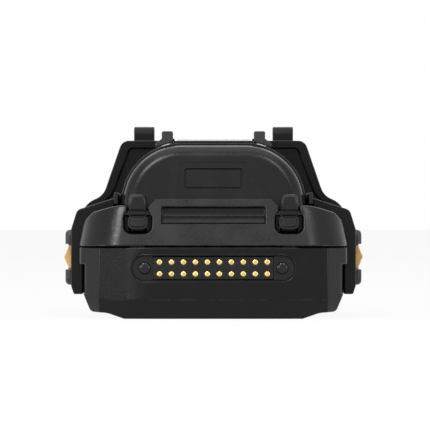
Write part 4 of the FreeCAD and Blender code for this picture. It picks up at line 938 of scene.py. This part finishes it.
@dataclass
class DockNose(SubAssembly):
    """The nose that drops into the dock: bowed face, chine all round its foot and a lipped contact recess."""

    edge: float = 0.22
    near: float = -60.0
    rear: float = -46.0
    top: float = 15.2
    half: float = 28.6
    nose_half: float = 15.5
    nose_round: float = 30.0
    crease_half: float = 24.3
    crease_back: float = 2.4
    cheek_back: float = 8.6
    bevel_height: float = 4.1
    bevel_back: float = 3.0
    wall: float = 2.4
    recess: tuple[float, float, float, float] = (-17.4, 17.4, 8.0, 13.65)
    recess_round: float = 2.7
    recess_face: float = -59.0
    window: tuple[float, float, float, float] = (-12.8, 12.8, 8.35, 13.35)
    bead: float = 0.17
    chine: tuple[Corner, ...] = (
        (19.0, -1, 0), (34, -1, 0), (34, 11.6, 0), (27.3, 11.6, 0), (27.3, 5.4, 0), (27.8, 5.4, 0),
        (26.2, 1.5, 1.2), (22.6, 1.25, 5), (19.0, 0, 0),
    )
    hollow_levels: tuple[float, float] = (2.6, 13.4)
    # The next three numbers place the dark sheet that paints the shade inside the contact recess.
    shade_sheet_gap: float = 0.25
    shade_sheet_back: float = 0.01
    shade_sheet_front: float = 0.14
    screw_hole: float = 0.95

    def plan(self, back: float) -> Flat:
        """The nose's plan, run on to the given level."""
        right = [(self.half, back, 0.0), (self.half, self.near + self.cheek_back, 3.0),
                 (self.crease_half, self.near + self.crease_back, 0.5),
                 (self.nose_half, self.near, self.nose_round)]
        corners = right + [(-x, y, r) for x, y, r in reversed(right)]
        return list(reversed(rounded(corners, 14)))

    def face_at(self, across: float) -> float:
        """Where the bowed face is at a place across the pack."""
        turn = math.atan2(self.crease_back, self.crease_half - self.nose_half)
        start = self.nose_half - self.nose_round * math.tan(turn / 2)
        beyond = max(0.0, min(abs(across) - start, self.nose_round * math.sin(turn)))
        drop = self.nose_round - math.sqrt(self.nose_round ** 2 - beyond ** 2)
        return self.near + drop + max(0.0, abs(across) - start - beyond) * math.tan(turn)

    def shell(self) -> None:
        """The nose itself, hollow behind its face."""
        outline = self.plan(self.rear + 6)
        body = Shape()
        levels = ((0.0, self.bevel_back), (self.bevel_height, 0.0), (self.top, 0.0))
        body.bridge([body.ring([Vector((p.x, p.y + back, z)) * MM for p in outline]) for z,
            back in levels])
        nose = body.piece("dock_nose")
        tools = [Shape().slab(oblong(-40, 40, -1, 17), Axis.Y, self.rear, self.rear + 9)]
        for side in (-1, 1):
            chine = rounded(list(self.chine), 6)
            flipped = [Vector((side * p.x, p.y)) for p in chine]
            tools.append(Shape().slab(flipped if side > 0 else list(reversed(flipped)), Axis.Y,
                self.near - 2, self.rear + 4))
        left, right, low, high = self.recess
        tools.append(Shape().slab(oblong(left, right, low, high, self.recess_round, 10), Axis.Y,
            self.near - 2, self.recess_face))
        left, right, low, high = self.window
        tools.append(Shape().slab(oblong(left, right, low, high), Axis.Y, self.near - 2,
            self.near + self.wall + 1))
        right_side = [(18.5, self.near + self.wall, 5), (23.6, self.near + 4.4, 0),
                      (25.5, self.near + 8.6, 0), (25.5, self.rear + 9, 0)]
        hollow = rounded(right_side + [(-x, y, r) for x, y, r in reversed(right_side)], 6)
        tools.append(Shape().slab(hollow, Axis.Z, *self.hollow_levels))
        show(soften(carve(nose, *tools), self.edge), Finish.SHELL, "housing", "dock_cap")

    def lip(self) -> None:
        """A fine bead round the contact recess, and a dark sheet lining the recess that paints the shade
        inside it.
        """
        left, right, low, high = self.recess
        outline = oblong(left, right, low, high, self.recess_round, 10)
        points: list[Vector] = []
        for index, here in enumerate(outline):
            ahead = outline[(index + 1) % len(outline)]
            steps = max(1, int((ahead - here).length / 1.5))
            points += [here.lerp(ahead, step / steps) for step in range(steps)]
        path = [Vector((p.x, self.face_at(p.x) + self.bead, p.y)) for p in points]
        path += [path[0].copy(), path[1].copy()]
        show(Shape().tube(path, self.bead, 8).piece("recess_bead"), Finish.SHELL, "housing")
        gap = self.shade_sheet_gap
        rim = oblong(left + gap, right - gap, low + gap, high - gap, self.recess_round - gap, 8)
        front, back = self.recess_face - self.shade_sheet_front, self.recess_face - self.shade_sheet_back
        # Painted shade: this dark sheet darkens the recess floor in place of the shade that falls there.
        shade_sheet = Shape().slab(rim, Axis.Y, front, back, (0.05, 0), steps=2).piece("recess_shade_sheet")
        left, right, low, high = self.window
        tools = [Shape().slab(oblong(left, right, low, high), Axis.Y, self.near, self.near + 3)]
        for side in (-1, 1):
            hole = [(self.screw_hole, self.near), (self.screw_hole, self.near + 3)]
            tools.append(Shape().lathe(hole, Axis.Y, (side * DockEnd.screw_x, DockEnd.middle), 28))
        show(carve(shade_sheet, *tools), Finish.BLOCK, "housing")

    def build(self) -> None:
        """The nose and its recess."""
        self.shell()
        self.lip()


@dataclass
class DockEnd(SubAssembly):
    """The dock contacts in their recess."""

    edge: float = 0.12
    radius: float = 0.66
    pitch: float = 2.54
    row: float = 1.275
    middle: float = 10.85
    tip: float = -59.55
    tail: float = -53.5
    screw_x: float = 14.6
    head_face: float = -59.8
    head_radius: float = 1.3
    seat: float = -59.0
    shank_radius: float = 0.8
    shank_end: float = -55.4

    def contacts(self) -> None:
        """Twenty plated pins with domed tips and a small centre mark."""
        shape = Shape()
        profile = [(0.1, self.tip + 0.14), (0.16, self.tip + 0.06), (0.24, self.tip),
            (0.4, self.tip + 0.02),
                   (0.54, self.tip + 0.09), (0.63, self.tip + 0.22), (self.radius, self.tip + 0.4),
                   (self.radius, self.tail)]
        for side in (-1, 1):
            for column in range(10):
                shape.lathe(profile, Axis.Y, ((column - 4.5) * self.pitch, self.middle + side * self.row),
                    24)
        show(shape.piece("dock_pins"), Finish.GOLD, "housing", "dock_contacts")

    def screws(self) -> None:
        """Two pan screws with cross recesses."""
        for word, side in (("left", -1), ("right", 1)):
            centre = (side * self.screw_x, self.middle)
            face, wide = self.head_face, self.head_radius
            profile = [(0.2, face), (0.55, face + 0.02), (0.9, face + 0.1), (1.15, face + 0.25),
                (wide, face + 0.5),
                       (wide, self.seat), (self.shank_radius, self.seat),
                       (self.shank_radius, self.shank_end)]
            screw = Shape().lathe(profile, Axis.Y, centre, 32).piece(f"contact_screw_{word}")
            tools = []
            for half_x, half_z in ((0.75, 0.15), (0.15, 0.75)):
                box = oblong(centre[0] - half_x, centre[0] + half_x, centre[1] - half_z,
                    centre[1] + half_z)
                tools.append(Shape().slab(box, Axis.Y, face - 1, face + 0.5))
            show(carve(screw, *tools), Finish.SCREW, "housing", "contact_screws")

    def build(self) -> None:
        """The contact block, its contacts and its screws."""
        self.mould("contact_block", Finish.BLOCK, self.edge)
        self.contacts()
        self.screws()
        self.dress(Finish.BLOCK, "contact_carrier")


@dataclass
class Battery(SubAssembly):
    """The battery with its cover, hump and rails."""

    edge: float = 0.3
    arch_half: float = 19.2
    arch_top: float = 37.0
    arch_foot: float = 24.2
    arch_round: float = 12.4
    face: float = -53.6
    rear: float = -47.0
    lean: float = 0.2309
    rim: float = 2.5
    label_half: float = 6.2
    label_low: float = 27.6
    label_high: float = 32.1
    label_deep: float = 0.6
    label_gap: float = 0.4
    panel_base: float = 8.0
    panel_half: float = 7.3
    panel_top: float = 33.4
    panel_deep: float = 0.1
    leaf_keep: float = 0.75

    def hump_cap(self) -> None:
        """The hump's end face: it leans back, with a soft rim and a bare label recess."""
        half, foot = self.arch_half, self.arch_foot
        arch = rounded([(half, foot - self.rim, 0), (half, self.arch_top, self.arch_round),
                        (-half, self.arch_top, self.arch_round), (-half, foot - self.rim, 0)], 28)
        below = self.face - self.rim * self.lean
        cap = Shape().slab(arch, Axis.Y, below, self.rear, (self.rim, 0.15), self.lean,
            8).piece("hump_cap")
        under = oblong(-half - 1, half + 1, foot - 9, foot)
        tools = [Shape().slab(under, Axis.Y, self.face - 9, self.rear + 3)]
        low, high, wide = self.label_low, self.label_high, self.label_half
        base, top, up = self.panel_base, self.panel_half, self.panel_top
        panel = rounded([(-base, foot - 1, 0), (base, foot - 1, 0), (top, up, 0.8), (-top, up, 0.8)])
        tools.append(self.sunk(panel, self.panel_deep))
        tools.append(self.sunk(oblong(-wide, wide, low, high, 0.6), self.label_deep))
        show(carve(cap, *tools), Finish.BATTERY, "battery", "battery_cap")
        gap = self.label_gap
        plate = oblong(-wide + gap, wide - gap, low + gap, high - gap, 0.3)
        start = self.face_at(low + gap) + self.label_deep
        plaque = Shape().slab(plate, Axis.Y, start - 0.32, start + 1.2, (0.08, 0), self.lean, 2)
        show(plaque.piece("label_plate"), Finish.BATTERY, "battery")

    def face_at(self, up: float) -> float:
        """Where the leaning face is at a height."""
        return self.face + self.lean * (up - self.arch_foot)

    def sunk(self, outline: Flat, deep: float) -> Shape:
        """A cutter that goes a little way into the leaning face."""
        shape = Shape()
        levels = (-3.0, deep)
        rings = [[turned_to(Axis.Y, p.x, p.y,
            self.face_at(p.y) + level) for p in outline] for level in levels]
        shape.bridge([shape.ring(points) for points in rings])
        return shape

    def latch_spring(self, word: str) -> None:
        """The leaf behind a finger pad, remade with rounded edges on a mesh of its own."""
        node = f"latch_spring_{word}"
        leaf = self.mould(node, Finish.SCREW, 0.04, segments=1)
        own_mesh(leaf)

    def build(self) -> None:
        """The battery's mouldings, its inside and the parts that hold it."""
        self.hump_cap()
        self.mould("battery_cover", Finish.BATTERY, self.edge)
        for node in ("battery_shell", "battery_tray"):
            self.mould(node, Finish.BATTERY, 0.2)
        for word in ("left", "right"):
            self.mould(f"battery_rail_{word}", Finish.RAIL, 0.12)
            self.latch_spring(word)
        self.dress(Finish.CELL, "battery_cells")
        self.dress(Finish.BOARD, "cell_board")
        self.dress(Finish.GOLD, "battery_pads", "battery_terminals")
        self.dress(Finish.SCREW, "latch_pins")
        self.dress(Finish.LATCH, "battery_catches")


@dataclass
class Latches(SubAssembly):
    """The two rocker latches: knob, hub, finger pad and hook arm."""

    across: float = 16.1
    pin_y: float = -55.3
    pin_z: float = 22.4
    knob_half: float = 1.9
    pad_half: float = 2.2
    arm_half: float = 1.4
    hub: float = 1.25
    knob_foot: float = 0.6
    knob_shoulder: float = 2.4
    knob_top: float = 4.1
    knob_taper: float = 0.4
    knob_front: float = -2.65
    knob_back: float = 0.85
    knob_rims: tuple[float, float] = (0.75, 0.3)
    arm: tuple[Corner, ...] = (
        (-0.75, 18.7, 0.5), (1.2, 17.0, 0.5), (3.1, 17.0, 0), (3.2, 15.7, 0), (4.3, 15.9, 0),
        (4.3, 17.8, 0.6), (1.9, 18.4, 0.6), (0.9, 19.7, 0.6), (0.9, 22.2, 0), (-0.75, 22.2, 0),
    )
    pad_low: float = 18.9
    pad_high: float = 22.2
    pad_round: float = 1.35
    pad_rear: float = 1.1
    pad_lean: float = 0.25
    pad_set_in: float = 0.6
    cushion_inset: float = 0.62
    cushion_proud: float = 0.12

    def latch(self, word: str, side: int) -> None:
        """One latch.

        Args:
            word: which side it is on.
            side: the sign of its place across the pack.
        """
        y, z, x = self.pin_y, self.pin_z, side * self.across
        half, shoulder = self.knob_half, z + self.knob_shoulder
        top, top_half = z + self.knob_top, self.knob_half - self.knob_taper
        knob = rounded([(x - half, z + self.knob_foot, 0), (x + half, z + self.knob_foot, 0),
            (x + half, shoulder, 1.3),
                        (x + top_half, top, 1.0), (x - top_half, top, 1.0), (x - half, shoulder, 1.3)], 6)
        shape = Shape()
        shape.slab(knob, Axis.Y, y + self.knob_front, y + self.knob_back, self.knob_rims, 0.0, 6)
        neck = oblong(x - half + 0.15, x + half - 0.15, z - 0.3, z + 1.4)
        shape.slab(neck, Axis.Y, y - 1.9, y + 0.8, (0.3, 0.2), 0.0, 4)
        shape.lathe([(self.hub, x - half), (self.hub, x + half)], Axis.X, (y, z), 28)
        arm = rounded([(y + back, up, corner) for back, up, corner in self.arm], 4)
        shape.slab(arm, Axis.X, x - self.arm_half, x + self.arm_half, (0.12, 0.12), steps=2)
        face, rear = cad_edge(f"latch_{word}", 1, False) + self.pad_set_in, y - self.pad_rear
        pad = oblong(x - self.pad_half, x + self.pad_half, self.pad_low, self.pad_high, self.pad_round, 8)
        shape.slab(pad, Axis.Y, face, rear, (0.3, 0.0), self.pad_lean, 4)
        cushion = inset(pad, self.cushion_inset)
        shape.slab(cushion, Axis.Y, face - self.cushion_proud, rear, (0.3, 0.0), self.pad_lean, 5)
        show(shape.piece(f"rocker_{word}"), Finish.LATCH, f"latch_{word}", f"latch_{word}")

    def build(self) -> None:
        """Both latches."""
        for word, side in (("left", -1), ("right", 1)):
            self.latch(word, side)


@dataclass
class BeltClip(SubAssembly):
    """The steel belt clip, its feet, pin and spring."""

    edge: float = 0.12
    pin_y: float = 34.0
    pin_z: float = 37.8
    coil_radius: float = 1.27
    wire: float = 0.28
    turns: int = 8
    steps: int = 20
    coil_half: float = 2.6

    def spring(self) -> None:
        """A torsion spring wound round the pin."""
        path = []
        count = self.turns * self.steps
        for index in range(count + 1):
            angle = 2 * math.pi * index / self.steps
            x = -self.coil_half + 2 * self.coil_half * index / count
            back, up = self.coil_radius * math.cos(angle), self.coil_radius * math.sin(angle)
            path.append(Vector((x, self.pin_y + back, self.pin_z + up)))
        show(Shape().tube(path, self.wire).piece("torsion_spring"), Finish.SPRING, body_of("clip_spring"),
            "clip_spring")

    def build(self) -> None:
        """The leaf, the feet and the hinge."""
        self.mould("clip_leaf", Finish.CLIP, self.edge)
        for word in ("left", "right"):
            self.mould(f"clip_foot_{word}", Finish.FOOT, 0.16)
        self.dress(Finish.PIN, "clip_pin")
        self.spring()


@dataclass
class SideKeys(SubAssembly):
    """The key, bezel and switch on each flank."""

    edge: float = 0.25
    inner: float = 30.6
    outer: float = 32.2
    gap: float = 0.2
    end_gap: float = 0.3
    rim: float = 0.95

    def bezel(self, word: str) -> None:
        """A soft rubber surround, open towards the dock end."""
        node, key = f"side_bezel_{word}", f"side_key_{word}"
        near, far = cad_edge(node, 1, False), cad_edge(node, 1, True)
        low, high = cad_edge(node, 2, False), cad_edge(node, 2, True)
        key_far = cad_edge(key, 1, True) + self.end_gap
        key_low, key_high = cad_edge(key, 2, False) - self.gap, cad_edge(key, 2, True) + self.gap
        outline = rounded([(near, low, 1.5), (far, low, 1.6), (far, high, 1.6), (near, high, 1.5)], 6)
        notch = rounded([(near - 1, key_low, 0), (key_far, key_low, 0.8), (key_far, key_high, 0.8),
            (near - 1, key_high, 0)], 6)
        if word == "right":
            shape = Shape().slab(outline, Axis.X, self.inner, self.outer, (0.0, self.rim), steps=5)
            cutter = Shape().slab(notch, Axis.X, self.inner - 1, self.outer + 1)
        else:
            shape = Shape().slab(outline, Axis.X, -self.outer, -self.inner, (self.rim, 0.0), steps=5)
            cutter = Shape().slab(notch, Axis.X, -self.outer - 1, 1 - self.inner)
        show(carve(shape.piece(f"bezel_{word}"), cutter), Finish.RUBBER, "housing", node)

    def build(self) -> None:
        """Both flanks."""
        for word in ("left", "right"):
            self.bezel(word)
            self.mould(f"side_key_{word}", Finish.KEY, self.edge)
            self.dress(Finish.CHIP, f"side_switch_{word}")


@dataclass
class ControlEnd(SubAssembly):
    """The socket, knob, button and light on the far panel."""

    edge: float = 0.15

    def build(self) -> None:
        """The controls."""
        self.mould("volume_knob", Finish.RUBBER, self.edge)
        self.mould("power_button", Finish.BUTTON, self.edge)
        self.mould("mic_socket_shell", Finish.SOCKET, 0.12)
        self.mould("mic_socket_nut", Finish.SOCKET, 0.12)
        self.dress(Finish.BLOCK, "mic_socket_insert")
        self.dress(Finish.PIN, "knob_shaft")
        self.dress(Finish.LIGHT, "light_pipe")


@dataclass
class DisplayFace(SubAssembly):
    """The display and menu keys on the front face."""

    edge: float = 0.2

    def build(self) -> None:
        """The window, the module and the three keys."""
        self.mould("display_lens", Finish.LENS, 0.15)
        self.dress(Finish.DISPLAY, "display_module")
        for number in (1, 2, 3):
            self.mould(f"menu_key_{number}", Finish.MENU, self.edge)


@dataclass
class Insides(SubAssembly):
    """The boards and what they carry."""

    def build(self) -> None:
        """Every inner piece keeps its frame shape."""
        self.dress(Finish.BOARD, "main_board", "control_board", "antenna_plate")
        self.dress(Finish.CHIP, "board_parts", "encoder_body", "power_switch")
        self.dress(Finish.CAN, "shield_can")


# ---------------------------------------------------------------- studio

def seen_rays(tree: bpy.types.NodeTree) -> bpy.types.NodeSocket:
    """One for the rays that see the background straight, in a gloss or through glass."""
    rays = add_node(tree, "ShaderNodeLightPath").outputs
    glossy = calculate(tree, "MAXIMUM", rays["Is Glossy Ray"], rays["Is Transmission Ray"])
    return calculate(tree, "MAXIMUM", rays["Is Camera Ray"], glossy)


@dataclass
class Studio:
    """The floor, the light and the camera."""

    distance: float = 1.0
    aim_x: float = 0.00034
    aim_z: float = 0.0221
    view_width: float = 0.0911
    floor_size: float = 12.0
    floor_colour: Colour = (0.86, 0.86, 0.86)
    floor_glow: float = 0.93
    sky: float = 0.15
    lamps: list[bpy.types.Object] = field(default_factory=list)

    def lamp(self, name: str, where: Colour, aim: Colour, size: tuple[float, float],
            power: float) -> None:
        """Add one soft lamp.

        Args:
            name: the lamp's name.
            where: its place, in metres.
            aim: the point it faces.
            size: its width and height.
            power: its power in watts.
        """
        data = bpy.data.lights.new(name, "AREA")
        data.shape = "RECTANGLE"
        data.size, data.size_y = size
        data.energy = power
        lamp = bpy.data.objects.new(name, data)
        bpy.context.scene.collection.objects.link(lamp)
        lamp.location = where
        lamp.rotation_euler = (Vector(aim) - Vector(where)).to_track_quat("-Z", "Y").to_euler()
        self.lamps.append(lamp)

    def world(self) -> None:
        """A plain sky: white where it is seen, softer where it lights."""
        world = bpy.data.worlds.new("studio")
        bpy.context.scene.world = world
        world.use_nodes = True
        tree = world.node_tree
        background = tree.nodes["Background"]
        background.inputs["Color"].default_value = (1, 1, 1, 1)
        tree.links.new(spread(tree, seen_rays(tree), 0.0, 1.0, self.sky, 1.0),
            background.inputs["Strength"])

    def floor(self) -> None:
        """A pale floor that keeps the pack's shadow and is clear from below."""
        mesh = bmesh.new()
        bmesh.ops.create_grid(mesh, x_segments=2, y_segments=2, size=self.floor_size / 2)
        data = bpy.data.meshes.new("floor")
        mesh.to_mesh(data)
        mesh.free()
        floor = bpy.data.objects.new("floor", data)
        bpy.context.scene.collection.objects.link(floor)
        material, tree, shader = start_material("floor_white")
        shader.inputs["Base Color"].default_value = (*self.floor_colour, 1)
        shader.inputs["Roughness"].default_value = 0.9
        glow = add_node(tree, "ShaderNodeEmission")
        glow.inputs["Strength"].default_value = 1.0
        mix = add_node(tree, "ShaderNodeMixShader")
        tree.links.new(calculate(tree, "MULTIPLY", seen_rays(tree), self.floor_glow), mix.inputs[0])
        tree.links.new(shader.outputs[0], mix.inputs[1])
        tree.links.new(glow.outputs[0], mix.inputs[2])
        clear = add_node(tree, "ShaderNodeBsdfTransparent")
        under = add_node(tree, "ShaderNodeMixShader")
        tree.links.new(add_node(tree, "ShaderNodeNewGeometry").outputs["Backfacing"], under.inputs[0])
        tree.links.new(mix.outputs[0], under.inputs[1])
        tree.links.new(clear.outputs[0], under.inputs[2])
        tree.links.new(under.outputs[0], tree.nodes["Material Output"].inputs["Surface"])
        data.materials.append(material)

    def camera(self) -> None:
        """A long lens, square on to the dock end."""
        near_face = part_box("dock_cap")[0].y
        data = bpy.data.cameras.new("camera")
        data.sensor_width = 36.0
        data.lens = data.sensor_width * self.distance / self.view_width
        data.clip_end = 50.0
        camera = bpy.data.objects.new("camera", data)
        bpy.context.scene.collection.objects.link(camera)
        camera.location = (self.aim_x, near_face - self.distance, self.aim_z)
        camera.rotation_euler = (math.radians(90), 0, 0)
        bpy.context.scene.camera = camera

    def build(self) -> None:
        """Set up the whole studio."""
        self.camera()
        self.world()
        self.floor()
        self.lamp("top", (0.0, -0.05, 0.9), (0, -0.03, 0.02), (0.9, 0.5), 1.8)
        self.lamp("key", (-0.3, -0.72, 0.86), (0, -0.05, 0.02), (0.22, 0.3), 5.0)
        self.lamp("fill", (0.32, -0.72, 0.86), (0, -0.05, 0.02), (0.22, 0.3), 2.0)
        self.lamp("strip", (-0.5, -1.05, 0.2), (0, -0.04, 0.02), (0.1, 0.5), 1.4)
        self.lamp("behind", (0.0, 0.9, 0.8), (0, 0.05, 0.03), (1.2, 0.5), 2.4)
        self.lamp("flank_left", (-1.05, -0.7, 0.25), (0, 0, 0.02), (0.4, 0.6), 5.0)
        self.lamp("flank_right", (1.05, -0.7, 0.25), (0, 0, 0.02), (0.4, 0.6), 3.5)


def main() -> None:
    """Build the studio and every sub-assembly in order."""
    logging.basicConfig(level=logging.INFO, format="%(name)s: %(message)s")
    scene = bpy.context.scene
    scene.view_settings.view_transform = "Standard"
    Studio().build()
    parts: list[SubAssembly] = [
        Shells(), DockNose(), DockEnd(), Battery(), Latches(),
        BeltClip(), SideKeys(), ControlEnd(), DisplayFace(), Insides(),
    ]
    for part in parts:
        LOG.info("building %s", type(part).__name__)
        part.build()


if __name__ == "__main__":
    main()
